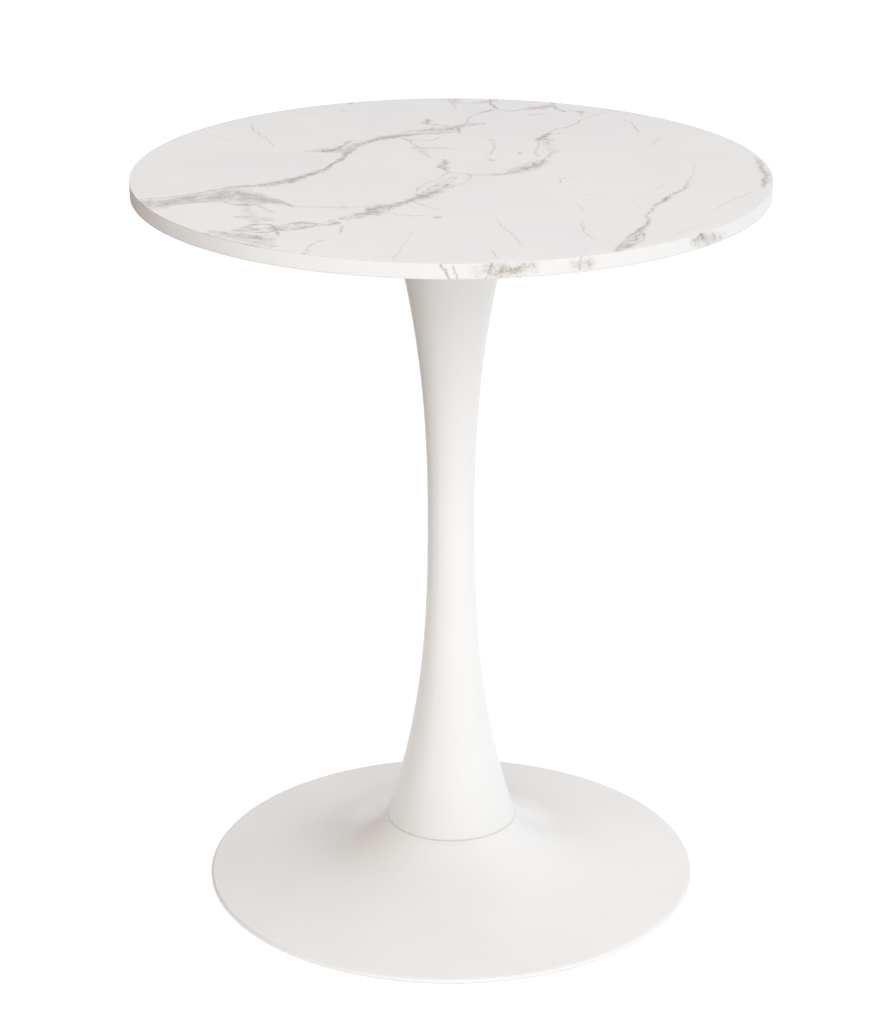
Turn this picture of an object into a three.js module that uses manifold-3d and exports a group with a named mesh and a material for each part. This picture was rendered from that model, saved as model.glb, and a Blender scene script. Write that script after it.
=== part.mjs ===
// Round pedestal table: a laminated board on a waisted steel column and a spun steel foot.
// One long rod clamps the column between the plate under the board and a cast iron weight inside the foot.
// Millimetres, +Z up, origin on the floor at the middle of the foot.

import * as THREE from "three";
import { mergeVertices } from "three/addons/utils/BufferGeometryUtils.js";
import Module from "manifold-3d";

const wasm = await Module();
wasm.setup();

// ---------- Driving dimensions ----------

const TABLE_HEIGHT = 725;
const TOP_DIAMETER = 600;

// Board: fibreboard core on a balancing sheet, banded round the edge, with printed laminate over both
const LAMINATE = 0.8;
const CORE = 13.7;
const BACKING = 0.5;
const BAND = 2;
const UPPER_ARRIS = 0.6;
const LOWER_ARRIS = 1.5;

// Column: a spun shell with its waist below the middle
const SHELL_WALL = 2;
const WAIST_RADIUS = 23;
const WAIST_HEIGHT = 385;
const HEAD_RADIUS = 65;
const FOOT_RADIUS = 64.5;
const HEAD_FLARE = 2.25;
const FOOT_FLARE = 2.6;

// Centring rings: a flange under each end of the shell and a collar inside it
const RING_FLANGE = 1;
const RING_SETBACK = 1;
const RING_COLLAR = 8;
const RING_WALL = 3;

// Foot cover: a shallow trumpet of sheet steel with a flat land on top
const COVER_RADIUS = 243.5;
const COVER_SHEET = 2;
const LAND_HEIGHT = 60;
const LAND_OVERHANG = 1.5;
const LAND_ROUND = 1.2;
const RIM_HEIGHT = 4.5;
const RIM_ROUND = 3.2;
const COVER_FLARE = 3.5;
const COVER_CONE_SHARE = 0.22;

// Trim under the rim of the cover
const TRIM_THICKNESS = 1;
const TRIM_SETBACK = 0.8;
const TRIM_WIDTH = 8;
const TRIM_BEAD_HEIGHT = 1.2;
const TRIM_BEAD_WIDTH = 3.5;

// Cast iron weight inside the cover
const WEIGHT_RADIUS = 135;
const WEIGHT_WALL = 8;
const WEIGHT_RING_WIDTH = 24;
const WEIGHT_GROUND_GAP = 3;
const WEIGHT_BOSS_RADIUS = 30;
const WEIGHT_BOSS_DEPTH = 6;
const RIB_COUNT = 6;
const RIB_THICKNESS = 6;
const RIB_GROUND_GAP = 7;

// Plate under the board, and the screws that hold the board to it
const PLATE_RADIUS = 90;
const PLATE_THICKNESS = 4;
const SCREW_CIRCLE_RADIUS = 75;
const SCREW_COUNT = 4;
const SCREW_RADIUS = 3;
const SCREW_LENGTH = 14;
const SCREW_HEAD_RADIUS = 5.4;
const SCREW_HEAD_HEIGHT = 3.4;
const SCREW_CROWN_RADIUS = 3.4;
const SCREW_CROWN_HEIGHT = 1.8;
const SCREW_SOCKET_ACROSS = 4;
const SCREW_SOCKET_DEPTH = 2;
const SCREW_WASHER_RADIUS = 6.2;
const SCREW_WASHER_THICKNESS = 1.6;
const INSERT_WALL = 1.3;
const INSERT_LENGTH = 10;
const INSERT_BARBS = 3;
const INSERT_BARB_DEPTH = 0.6;
const INSERT_HEADROOM = 1.5;

// Clamp rod, its two nuts and its washers
const ROD_RADIUS = 6;
const ROD_TAIL = 7;
const ROD_HEAD_RECESS = 1;
const ROD_CHAMFER = 1;
const NUT_ACROSS = 19;
const NUT_HEIGHT = 10;
const CLAMP_WASHER_RADIUS = 25;
const CLAMP_WASHER_THICKNESS = 4;
const SPRING_WASHER_WIDTH = 3.8;
const SPRING_WASHER_THICKNESS = 3;
const SPRING_WASHER_SLIT = 2;

// Clearances
const GLUE_LINE = 0.1;
const THREAD_CLEARANCE = 0.3;
const HOLE_CLEARANCE = 0.5;
const SEAT_CLEARANCE = 0.4;
const WEIGHT_CLEARANCE = 1.5;

// Steps round a full turn
const BOARD_STEPS = 64;
const COLUMN_STEPS = 40;
const COVER_STEPS = 48;
const FASTENER_STEPS = 16;

// Steps along a curved profile
const SHELL_STEPS = 6;
const COVER_FLARE_STEPS = 8;
const WEIGHT_FLARE_STEPS = 4;
const ROUND_STEPS = 2;
const FLARE_STEP_CROWDING = 0.75;

// A cutting tool stands out of the face it cuts by this much
const OVERCUT = 1;

// Steps small enough to count as none: for a gradient, a root and a shared vertex
const GRADIENT_STEP = 0.01;
const ROOT_PRECISION = 1e-6;
const VERTEX_PRECISION = 1e-4;

// ---------- Derived places ----------

const topRadius = TOP_DIAMETER / 2;
const boardUnderside = TABLE_HEIGHT - LAMINATE - CORE - BACKING;
const coreUnderside = boardUnderside + BACKING;
const laminateUnderside = coreUnderside + CORE;
const plateUnderside = boardUnderside - PLATE_THICKNESS;
const shellHead = plateUnderside - RING_FLANGE;
const shellFoot = LAND_HEIGHT + RING_FLANGE;
const landRadius = FOOT_RADIUS + LAND_OVERHANG;
const landUnderside = LAND_HEIGHT - COVER_SHEET;
const rodHoleRadius = ROD_RADIUS + HOLE_CLEARANCE;
const bossUnderside = landUnderside - WEIGHT_WALL - WEIGHT_BOSS_DEPTH;
const clampNutTop = bossUnderside - CLAMP_WASHER_THICKNESS - SPRING_WASHER_THICKNESS;
const screwHeadTop = plateUnderside - SCREW_WASHER_THICKNESS;

// ---------- Curves ----------

// Outer radius of the column shell at a height: two flares that meet at the waist.
function shellRadius(z) {
  const above = z > WAIST_HEIGHT;
  const reach = above ? shellHead - WAIST_HEIGHT : WAIST_HEIGHT - shellFoot;
  const end = above ? HEAD_RADIUS : FOOT_RADIUS;
  const share = Math.abs(z - WAIST_HEIGHT) / reach;
  return WAIST_RADIUS + (end - WAIST_RADIUS) * share ** (above ? HEAD_FLARE : FOOT_FLARE);
}

// Height of the foot cover's top face at a radius: a flat cone plus a flare that steepens to the land.
function coverHeight(r) {
  const share = Math.max(0, (COVER_RADIUS - r) / (COVER_RADIUS - landRadius));
  const rise = COVER_CONE_SHARE * share + (1 - COVER_CONE_SHARE) * share ** COVER_FLARE;
  return RIM_HEIGHT + (LAND_HEIGHT - RIM_HEIGHT) * rise;
}

function slope(curve, at) {
  return (curve(at + GRADIENT_STEP) - curve(at - GRADIENT_STEP)) / (2 * GRADIENT_STEP);
}

// The same wall measured square to a curve is this much longer along the other axis.
function stretched(thickness, gradient) {
  return thickness * Math.hypot(1, gradient);
}

function shellBore(z) {
  return shellRadius(z) - stretched(SHELL_WALL, slope(shellRadius, z));
}

function underCover(r, depth) {
  return coverHeight(r) - stretched(depth, slope(coverHeight, r));
}

// The radius at which the surface a given depth under the cover meets a level.
function radiusUnderCover(depth, level) {
  let inner = landRadius / 2;
  let outer = COVER_RADIUS - RIM_ROUND;
  while (outer - inner > ROOT_PRECISION) {
    const middle = (inner + outer) / 2;
    if (underCover(middle, depth) > level) inner = middle;
    else outer = middle;
  }
  return inner;
}

// Evenly spaced values from one end to the other, both included.
function spread(from, to, steps) {
  return Array.from({ length: steps + 1 }, (_, i) => from + ((to - from) * i) / steps);
}

// Radii along the trumpet, closer together where it steepens towards the land.
function flareRadii(outer, inner, steps) {
  const shares = spread(0, 1, steps).map((share) => share ** FLARE_STEP_CROWDING);
  return shares.map((share) => outer + (inner - outer) * share);
}

// Points of the face a given depth under the cover, from a radius in to where it meets a level.
function faceUnderCover(outer, depth, level, steps) {
  const inner = radiusUnderCover(depth, level);
  const slopes = flareRadii(outer, inner, steps).slice(0, -1);
  return [...slopes.map((r) => [r, underCover(r, depth)]), [inner, level]];
}

// Part of a circle in a profile, from one angle to another, in degrees.
function rounding(r, z, radius, fromAngle, toAngle) {
  return spread(fromAngle, toAngle, ROUND_STEPS).map((angle) => {
    const turn = THREE.MathUtils.degToRad(angle);
    return [r + radius * Math.cos(turn), z + radius * Math.sin(turn)];
  });
}

// ---------- Solids ----------

// A body of revolution about Z. The profile runs anticlockwise in radius and height, and closes itself.
function turned(profile, steps) {
  const points = [...profile, profile[0]].map(([r, z]) => new THREE.Vector2(r, z));
  return new THREE.LatheGeometry(points, steps).rotateX(Math.PI / 2);
}

function ring(innerRadius, outerRadius, bottom, top, steps) {
  return turned(
    [
      [outerRadius, bottom],
      [outerRadius, top],
      [innerRadius, top],
      [innerRadius, bottom],
    ],
    steps,
  );
}

function disc(radius, bottom, top, steps) {
  return new THREE.CylinderGeometry(radius, radius, top - bottom, steps)
    .rotateX(Math.PI / 2)
    .translate(0, 0, (bottom + top) / 2);
}

// A hexagonal prism. Across is the distance between its flats.
function hexagon(across, bottom, top) {
  return disc(across / Math.sqrt(3), bottom, top, 6);
}

function toSolid(geometry) {
  const bare = geometry.clone();
  bare.deleteAttribute("normal");
  bare.deleteAttribute("uv");
  const merged = mergeVertices(bare, VERTEX_PRECISION);
  return new wasm.Manifold(
    new wasm.Mesh({
      numProp: 3,
      vertProperties: new Float32Array(merged.attributes.position.array),
      triVerts: new Uint32Array(merged.index.array),
    }),
  );
}

function toGeometry(solid) {
  const mesh = solid.getMesh();
  const indexed = new THREE.BufferGeometry();
  indexed.setAttribute("position", new THREE.BufferAttribute(mesh.vertProperties, 3));
  indexed.setIndex(new THREE.BufferAttribute(mesh.triVerts, 1));
  const flat = indexed.toNonIndexed();
  flat.computeVertexNormals();
  return flat;
}

function cut(geometry, tools) {
  return toGeometry(tools.reduce((body, tool) => body.subtract(toSolid(tool)), toSolid(geometry)));
}

// ---------- Layout of the board's fasteners ----------

const screwPlaces = Array.from({ length: SCREW_COUNT }, (_, i) => {
  const turn = (2 * Math.PI * (i + 0.5)) / SCREW_COUNT;
  return { x: SCREW_CIRCLE_RADIUS * Math.cos(turn), y: SCREW_CIRCLE_RADIUS * Math.sin(turn) };
});

// A round cutting tool at each screw place.
function drills(radius, bottom, top) {
  return screwPlaces.map(({ x, y }) => disc(radius, bottom, top, FASTENER_STEPS).translate(x, y, 0));
}

// ---------- Board ----------

const boardRadius = topRadius - BAND;
const threadedBore = SCREW_RADIUS + THREAD_CLEARANCE;
const insertRadius = threadedBore + INSERT_WALL;
const pocketRadius = insertRadius + THREAD_CLEARANCE;
const pocketTop = boardUnderside + INSERT_LENGTH + INSERT_HEADROOM;

// Trimmed flush with the band, with a small arris worked on its edge.
function topLaminate() {
  return turned(
    [
      [0, laminateUnderside],
      [topRadius, laminateUnderside],
      [topRadius, TABLE_HEIGHT - UPPER_ARRIS],
      [topRadius - UPPER_ARRIS, TABLE_HEIGHT],
      [0, TABLE_HEIGHT],
    ],
    BOARD_STEPS,
  );
}

function topCore() {
  const board = disc(boardRadius - GLUE_LINE, coreUnderside, laminateUnderside, BOARD_STEPS);
  return cut(board, drills(pocketRadius, coreUnderside - OVERCUT, pocketTop));
}

function topBacking() {
  const sheet = disc(boardRadius - GLUE_LINE, boardUnderside, coreUnderside, BOARD_STEPS);
  return cut(sheet, drills(pocketRadius, boardUnderside - OVERCUT, coreUnderside + OVERCUT));
}

function edgeBand() {
  return turned(
    [
      [topRadius - LOWER_ARRIS, boardUnderside],
      [topRadius, boardUnderside + LOWER_ARRIS],
      [topRadius, laminateUnderside],
      [boardRadius, laminateUnderside],
      [boardRadius, boardUnderside],
    ],
    BOARD_STEPS,
  );
}

// A sleeve with barbs outside and a thread inside, pressed into the underside of the core.
function threadedInsert() {
  const pitch = INSERT_LENGTH / INSERT_BARBS;
  const outside = [];
  for (let i = 0; i < INSERT_BARBS; i += 1) {
    outside.push([insertRadius, i * pitch], [insertRadius - INSERT_BARB_DEPTH, (i + 1) * pitch]);
  }
  const sleeve = [...outside, [threadedBore, INSERT_LENGTH], [threadedBore, 0]];
  return turned(sleeve, FASTENER_STEPS).translate(0, 0, boardUnderside);
}

// ---------- Plate and screws ----------

function mountingPlate() {
  const plate = disc(PLATE_RADIUS, plateUnderside, boardUnderside, COLUMN_STEPS);
  const bottom = plateUnderside - OVERCUT;
  const top = boardUnderside + OVERCUT;
  const rodHole = disc(rodHoleRadius, bottom, top, FASTENER_STEPS);
  return cut(plate, [rodHole, ...drills(SCREW_RADIUS + HOLE_CLEARANCE, bottom, top)]);
}

// Low round head below its shank, with a hexagon socket in its underside.
function plateScrew() {
  const crown = screwHeadTop - SCREW_HEAD_HEIGHT;
  const body = turned(
    [
      [0, crown],
      [SCREW_CROWN_RADIUS, crown],
      [SCREW_HEAD_RADIUS, crown + SCREW_CROWN_HEIGHT],
      [SCREW_HEAD_RADIUS, screwHeadTop],
      [SCREW_RADIUS, screwHeadTop],
      [SCREW_RADIUS, screwHeadTop + SCREW_LENGTH],
      [0, screwHeadTop + SCREW_LENGTH],
    ],
    FASTENER_STEPS,
  );
  return cut(body, [hexagon(SCREW_SOCKET_ACROSS, crown - OVERCUT, crown + SCREW_SOCKET_DEPTH)]);
}

function screwWasher() {
  return ring(threadedBore, SCREW_WASHER_RADIUS, screwHeadTop, plateUnderside, FASTENER_STEPS);
}

// ---------- Clamp rod, nuts and washers ----------

function clampRod() {
  const bottom = clampNutTop - NUT_HEIGHT - ROD_TAIL;
  const top = boardUnderside - ROD_HEAD_RECESS;
  return turned(
    [
      [0, bottom],
      [ROD_RADIUS - ROD_CHAMFER, bottom],
      [ROD_RADIUS, bottom + ROD_CHAMFER],
      [ROD_RADIUS, top - ROD_CHAMFER],
      [ROD_RADIUS - ROD_CHAMFER, top],
      [0, top],
    ],
    FASTENER_STEPS,
  );
}

function rodNut(top) {
  const blank = hexagon(NUT_ACROSS, top - NUT_HEIGHT, top);
  const bottom = top - NUT_HEIGHT - OVERCUT;
  return cut(blank, [disc(ROD_RADIUS + THREAD_CLEARANCE, bottom, top + OVERCUT, FASTENER_STEPS)]);
}

function clampWasher() {
  const bottom = bossUnderside - CLAMP_WASHER_THICKNESS;
  return ring(rodHoleRadius, CLAMP_WASHER_RADIUS, bottom, bossUnderside, COLUMN_STEPS);
}

// One coil of square wire, cut through at one side.
function springWasher() {
  const top = bossUnderside - CLAMP_WASHER_THICKNESS;
  const outerRadius = rodHoleRadius + SPRING_WASHER_WIDTH;
  const coil = ring(rodHoleRadius, outerRadius, clampNutTop, top, FASTENER_STEPS);
  const reach = 2 * outerRadius;
  const slit = new THREE.BoxGeometry(reach, SPRING_WASHER_SLIT, reach).translate(reach / 2, 0, top);
  return cut(coil, [slit]);
}

// ---------- Column ----------

function columnShell() {
  const heights = [
    ...spread(shellFoot, WAIST_HEIGHT, SHELL_STEPS),
    ...spread(WAIST_HEIGHT, shellHead, SHELL_STEPS).slice(1),
  ];
  const outside = heights.map((z) => [shellRadius(z), z]);
  const inside = heights.map((z) => [shellBore(z), z]).reverse();
  return turned([...outside, ...inside], COLUMN_STEPS);
}

// A flange that carries the end of the shell, and a collar that follows the bore.
// Side is 1 where the collar stands up from its flange, and -1 where it hangs down.
function centringRing(seat, endRadius, side) {
  const shellEnd = seat + side * RING_FLANGE;
  const collarEnd = shellEnd + side * RING_COLLAR;
  const collarRadius = (z) => shellBore(z) - SEAT_CLEARANCE;
  const bore = Math.min(collarRadius(shellEnd), collarRadius(collarEnd)) - RING_WALL;
  const profile = [
    [endRadius - RING_SETBACK, seat],
    [endRadius - RING_SETBACK, shellEnd],
    [collarRadius(shellEnd), shellEnd],
    [collarRadius(collarEnd), collarEnd],
    [bore, collarEnd],
    [bore, seat],
  ];
  return turned(side > 0 ? profile : profile.reverse(), COLUMN_STEPS);
}

// ---------- Foot ----------

function footCover() {
  const lipBore = COVER_RADIUS - COVER_SHEET;
  const flareFrom = COVER_RADIUS - RIM_ROUND;
  const radii = flareRadii(flareFrom, landRadius, COVER_FLARE_STEPS);
  const innerFace = faceUnderCover(lipBore, COVER_SHEET, landUnderside, COVER_FLARE_STEPS);
  return turned(
    [
      [COVER_RADIUS, TRIM_THICKNESS],
      ...rounding(flareFrom, coverHeight(flareFrom) - RIM_ROUND, RIM_ROUND, 0, 90).slice(0, -1),
      ...radii.slice(0, -1).map((r) => [r, coverHeight(r)]),
      ...rounding(landRadius - LAND_ROUND, LAND_HEIGHT - LAND_ROUND, LAND_ROUND, 45, 90),
      [rodHoleRadius, LAND_HEIGHT],
      [rodHoleRadius, landUnderside],
      ...innerFace.reverse(),
      [lipBore, TRIM_THICKNESS],
    ],
    COVER_STEPS,
  );
}

function rimTrim() {
  const beadOuter = COVER_RADIUS - COVER_SHEET - SEAT_CLEARANCE;
  return turned(
    [
      [COVER_RADIUS - TRIM_SETBACK, 0],
      [COVER_RADIUS - TRIM_SETBACK, TRIM_THICKNESS],
      [beadOuter, TRIM_THICKNESS],
      [beadOuter, TRIM_THICKNESS + TRIM_BEAD_HEIGHT],
      [beadOuter - TRIM_BEAD_WIDTH, TRIM_THICKNESS + TRIM_BEAD_HEIGHT],
      [beadOuter - TRIM_BEAD_WIDTH, TRIM_THICKNESS],
      [COVER_RADIUS - TRIM_WIDTH, TRIM_THICKNESS],
      [COVER_RADIUS - TRIM_WIDTH, 0],
    ],
    COVER_STEPS,
  );
}

// A bell that follows the cover, thick at its outer ring, with a boss and webs inside.
function footWeight() {
  const depth = COVER_SHEET + WEIGHT_CLEARANCE;
  const roof = landUnderside - WEIGHT_WALL;
  const ringBore = WEIGHT_RADIUS - WEIGHT_RING_WIDTH;
  const outerFace = faceUnderCover(WEIGHT_RADIUS, depth, landUnderside, WEIGHT_FLARE_STEPS);
  const innerFace = faceUnderCover(ringBore, depth + WEIGHT_WALL, roof, WEIGHT_FLARE_STEPS);
  const bell = turned(
    [
      [WEIGHT_RADIUS, WEIGHT_GROUND_GAP],
      ...outerFace,
      [rodHoleRadius, landUnderside],
      [rodHoleRadius, bossUnderside],
      [WEIGHT_BOSS_RADIUS, bossUnderside],
      [WEIGHT_BOSS_RADIUS, roof],
      ...innerFace.reverse(),
      [ringBore, WEIGHT_GROUND_GAP],
    ],
    COVER_STEPS,
  );
  return toGeometry(ribs(outerFace, roof).reduce((body, rib) => body.add(rib), toSolid(bell)));
}

// Webs from the boss to the outer ring, kept inside the weight's own outline.
function ribs(outerFace, roof) {
  const inset = WEIGHT_WALL / 2;
  const ribEnd = WEIGHT_RADIUS - inset;
  const ribStart = WEIGHT_BOSS_RADIUS - inset / 2;
  const outline = [
    [ribEnd, RIB_GROUND_GAP],
    ...outerFace.filter(([r]) => r < ribEnd).map(([r, z]) => [r, z - inset]),
    [ribStart, roof + inset],
    [ribStart, RIB_GROUND_GAP],
  ];
  const room = toSolid(turned(outline, COVER_STEPS));
  return Array.from({ length: RIB_COUNT }, (_, i) => {
    const web = new THREE.BoxGeometry(WEIGHT_RADIUS, RIB_THICKNESS, 2 * LAND_HEIGHT)
      .translate(WEIGHT_RADIUS / 2, 0, 0)
      .rotateZ((2 * Math.PI * i) / RIB_COUNT);
    return toSolid(web).intersect(room);
  });
}

// ---------- Materials ----------

function finish(color, roughness, metalness = 0) {
  return new THREE.MeshStandardMaterial({ color, roughness, metalness });
}

const finishes = {
  marblePrint: finish(0xeceae7, 0.4),
  fibreboard: finish(0xa58a63, 0.9),
  whiteSheet: finish(0xe9e8e4, 0.6),
  whitePaint: finish(0xeeede9, 0.35),
  greyPaint: finish(0x54565a, 0.6, 0.2),
  zinc: finish(0xb9bcc0, 0.35, 0.9),
  brass: finish(0xb69a5a, 0.35, 0.9),
  castIron: finish(0x3b3b3d, 0.8, 0.4),
  nylon: finish(0xe3e2dd, 0.55),
  rubber: finish(0xcfcbc3, 0.8),
};

// ---------- Assembly ----------

function piece(name, geometry, material) {
  const mesh = new THREE.Mesh(geometry, material);
  mesh.name = name;
  return mesh;
}

// The same piece at each screw place, numbered from 1.
function atScrewPlaces(name, makeGeometry, material) {
  return screwPlaces.map(({ x, y }, i) => {
    const mesh = piece(`${name}_${i + 1}`, makeGeometry(), material);
    mesh.position.set(x, y, 0);
    return mesh;
  });
}

function board() {
  const group = new THREE.Group();
  group.add(
    piece("top_laminate", topLaminate(), finishes.marblePrint),
    piece("top_core", topCore(), finishes.fibreboard),
    piece("top_backing", topBacking(), finishes.whiteSheet),
    piece("edge_band", edgeBand(), finishes.marblePrint),
    ...atScrewPlaces("threaded_insert", threadedInsert, finishes.brass),
  );
  return group;
}

function headFittings() {
  const group = new THREE.Group();
  group.add(
    piece("mounting_plate", mountingPlate(), finishes.greyPaint),
    piece("plate_nut", rodNut(plateUnderside), finishes.zinc),
    piece("head_ring", centringRing(plateUnderside, HEAD_RADIUS, -1), finishes.nylon),
    ...atScrewPlaces("plate_screw", plateScrew, finishes.zinc),
    ...atScrewPlaces("screw_washer", screwWasher, finishes.zinc),
  );
  return group;
}

function column() {
  const group = new THREE.Group();
  group.add(
    piece("column_shell", columnShell(), finishes.whitePaint),
    piece("clamp_rod", clampRod(), finishes.zinc),
  );
  return group;
}

function foot() {
  const group = new THREE.Group();
  group.add(
    piece("foot_ring", centringRing(LAND_HEIGHT, FOOT_RADIUS, 1), finishes.nylon),
    piece("foot_cover", footCover(), finishes.whitePaint),
    piece("rim_trim", rimTrim(), finishes.rubber),
    piece("foot_weight", footWeight(), finishes.castIron),
    piece("clamp_washer", clampWasher(), finishes.zinc),
    piece("spring_washer", springWasher(), finishes.zinc),
    piece("clamp_nut", rodNut(clampNutTop), finishes.zinc),
  );
  return group;
}

const table = new THREE.Group();
table.add(board(), headFittings(), column(), foot());

export default table;
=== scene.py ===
"""Looks of a round pedestal table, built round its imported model.

Every piece is in metres in the model's frame: +Z up, with the origin on the floor under the
middle of the foot. Sizes and places come from the boxes of the model's nodes.
"""

import logging
import math
from dataclasses import dataclass, replace
from enum import Enum
from typing import Callable, Sequence

import bpy
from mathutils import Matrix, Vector


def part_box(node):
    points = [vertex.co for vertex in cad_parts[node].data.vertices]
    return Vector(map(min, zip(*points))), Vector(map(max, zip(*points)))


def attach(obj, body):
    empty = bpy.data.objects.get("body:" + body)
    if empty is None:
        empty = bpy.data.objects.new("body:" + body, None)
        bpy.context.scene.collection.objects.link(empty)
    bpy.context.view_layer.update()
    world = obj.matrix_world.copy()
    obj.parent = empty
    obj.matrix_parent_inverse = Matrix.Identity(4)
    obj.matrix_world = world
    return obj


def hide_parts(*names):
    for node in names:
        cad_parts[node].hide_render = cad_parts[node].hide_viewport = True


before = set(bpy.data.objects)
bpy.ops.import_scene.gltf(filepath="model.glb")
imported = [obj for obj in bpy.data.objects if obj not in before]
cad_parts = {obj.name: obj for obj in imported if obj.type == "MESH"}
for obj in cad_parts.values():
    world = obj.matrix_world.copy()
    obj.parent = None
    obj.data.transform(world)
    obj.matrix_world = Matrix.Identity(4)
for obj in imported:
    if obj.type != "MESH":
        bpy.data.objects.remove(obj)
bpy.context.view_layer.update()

log = logging.getLogger("table")

MM = 0.001
TURN = 2 * math.pi
FOUR = range(1, 5)

Point = tuple[float, float]
Colour = tuple[float, float, float]
Stops = tuple[tuple[float, Colour], ...]
Socket = bpy.types.NodeSocket
Value = float | Sequence[float] | Socket
Inputs = dict[str | int, Value]


# ---------------------------------------------------------------- places


@dataclass(frozen=True)
class Span:
    """Where a round node stands: its axis, greatest radius, and lowest and highest level."""

    axis: Point
    radius: float
    low: float
    high: float

    @classmethod
    def of(cls, node: str) -> "Span":
        """Read a node's box.

        Args:
            node: the node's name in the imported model.

        Returns:
            The node's span in metres.
        """
        low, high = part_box(node)
        reach = max(high.x - low.x, high.y - low.y) / 2
        return cls(((low.x + high.x) / 2, (low.y + high.y) / 2), reach, low.z, high.z)

    @property
    def height(self) -> float:
        """Distance from the lowest to the highest level."""
        return self.high - self.low


class Slot(Enum):
    """The record's material slots."""

    LAMINATE = "marble_laminate"
    BAND = "marble_band"
    FIBREBOARD = "fibreboard"
    BACKING = "backing_sheet"
    WHITE_PAINT = "white_paint"
    GREY_PAINT = "grey_paint"
    ZINC = "zinc_steel"
    BRASS = "insert_brass"
    IRON = "cast_iron"
    NYLON = "ring_plastic"
    TRIM = "trim_rubber"


# ---------------------------------------------------------------- outlines


@dataclass(frozen=True)
class Corner:
    """A corner of a turned outline: its radius and height, and how far it is rounded."""

    r: float
    z: float
    round: float = 0.0


def rounded(corners: Sequence[Corner], steps: int = 5) -> list[Point]:
    """Replace each rounded corner of a closed outline by an arc.

    Args:
        corners: the outline's corners in order.
        steps: pieces in each arc.

    Returns:
        The outline's points in the same order.
    """
    points: list[Point] = []
    for index, corner in enumerate(corners):
        if corner.round <= 0:
            points.append((corner.r, corner.z))
            continue
        here = Vector((corner.r, corner.z))
        before, after = corners[index - 1], corners[(index + 1) % len(corners)]
        back = Vector((before.r, before.z)) - here
        ahead = Vector((after.r, after.z)) - here
        half = back.angle(ahead) / 2
        reach = min(corner.round / math.tan(half), back.length / 2, ahead.length / 2)
        start = here + back.normalized() * reach
        end = here + ahead.normalized() * reach
        for share in spread(0.0, 1.0, steps):
            bend = start.lerp(here, share).lerp(here.lerp(end, share), share)
            points.append((bend.x, bend.y))
    return points


def ring_corners(inner: float, span: Span, eases: Sequence[float]) -> list[Corner]:
    """Corners of a plain ring's or disc's outline.

    Args:
        inner: the radius of its hole, 0 for a disc.
        span: where it stands.
        eases: how far each corner is rounded: inner lower, outer lower, outer upper, inner upper.

    Returns:
        The corners, anticlockwise in radius and height.
    """
    places = (inner, span.low), (span.radius, span.low), (span.radius, span.high), (inner, span.high)
    return [Corner(*place, ease) for place, ease in zip(places, eases)]


def spread(low: float, high: float, steps: int) -> list[float]:
    """Evenly spaced values from low to high, both included."""
    return [low + (high - low) * step / steps for step in range(steps + 1)]


@dataclass(frozen=True)
class Thread:
    """A right-hand screw thread about a vertical axis: its crest, pitch and depth."""

    crest: float
    pitch: float
    depth: float
    points_per_pitch: int = 6

    def points(self, levels: Sequence[float], angle: float) -> list[Point]:
        """Lay the thread's outline out at one angle.

        Args:
            levels: where the outline has its points.
            angle: the angle round the axis.

        Returns:
            Radius and height of each point.
        """
        phases = [(level / self.pitch - angle / TURN) % 1.0 for level in levels]
        cuts = [self.depth * abs(2 * phase - 1) for phase in phases]
        return [(self.crest - cut, level) for cut, level in zip(cuts, levels)]

    def levels(self, low: float, high: float) -> list[float]:
        """Levels fine enough to show the thread between two heights."""
        return spread(low, high, max(2, round((high - low) / self.pitch * self.points_per_pitch)))


SCREW_THREAD = Thread(3 * MM, 1 * MM, 0.55 * MM)
ROD_THREAD = Thread(6 * MM, 1.75 * MM, 0.95 * MM)
THREAD_PLAY = 0.08 * MM


# ---------------------------------------------------------------- solids


def sweep(
    name: str, section: Callable[[float], Sequence[Point]], steps: int,
    axis: Point = (0.0, 0.0), arc: float = TURN,
) -> bpy.types.Object:
    """Carry an outline round a vertical axis into one closed mesh.

    Args:
        name: the new object's name.
        section: gives the closed outline at an angle, anticlockwise in radius and height, with
            the same number of points at every angle.
        steps: pieces in the sweep.
        axis: where the axis stands.
        arc: how far the sweep goes; less than a full turn is closed by an end face at each end.

    Returns:
        The new object, linked to the scene.
    """
    whole = arc >= TURN
    vertices: list[tuple[float, float, float]] = []
    rings: list[list[int]] = []
    on_axis: dict[int, int] = {}
    for index in range(steps if whole else steps + 1):
        angle = arc * index / steps
        ring = []
        for place, (r, z) in enumerate(section(angle)):
            number = len(vertices)
            if r < 1e-9:
                number = on_axis.setdefault(place, number)
            if number == len(vertices):
                vertices.append((axis[0] + r * math.cos(angle), axis[1] + r * math.sin(angle), z))
            ring.append(number)
        rings.append(ring)
    faces: list[list[int]] = []
    for index in range(steps):
        here, there = rings[index], rings[(index + 1) % len(rings)]
        for place in range(len(here)):
            following = (place + 1) % len(here)
            corners = [here[place], there[place], there[following], here[following]]
            face = list(dict.fromkeys(corners))
            if len(face) > 2:
                faces.append(face)
    if not whole:
        faces += [rings[-1][::-1], rings[0]]
    return to_object(name, vertices, faces)


def to_object(
    name: str, vertices: Sequence[Sequence[float]], faces: Sequence[Sequence[int]]
) -> bpy.types.Object:
    """Make a linked, smooth-shaded object with its hard edges kept sharp.

    Args:
        name: the object's name.
        vertices: places in metres.
        faces: vertex numbers of each face.

    Returns:
        The new object.
    """
    mesh = bpy.data.meshes.new(name)
    mesh.from_pydata(vertices, [], faces)
    mesh.validate()
    piece = bpy.data.objects.new(name, mesh)
    bpy.context.scene.collection.objects.link(piece)
    soften(piece)
    return piece


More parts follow.
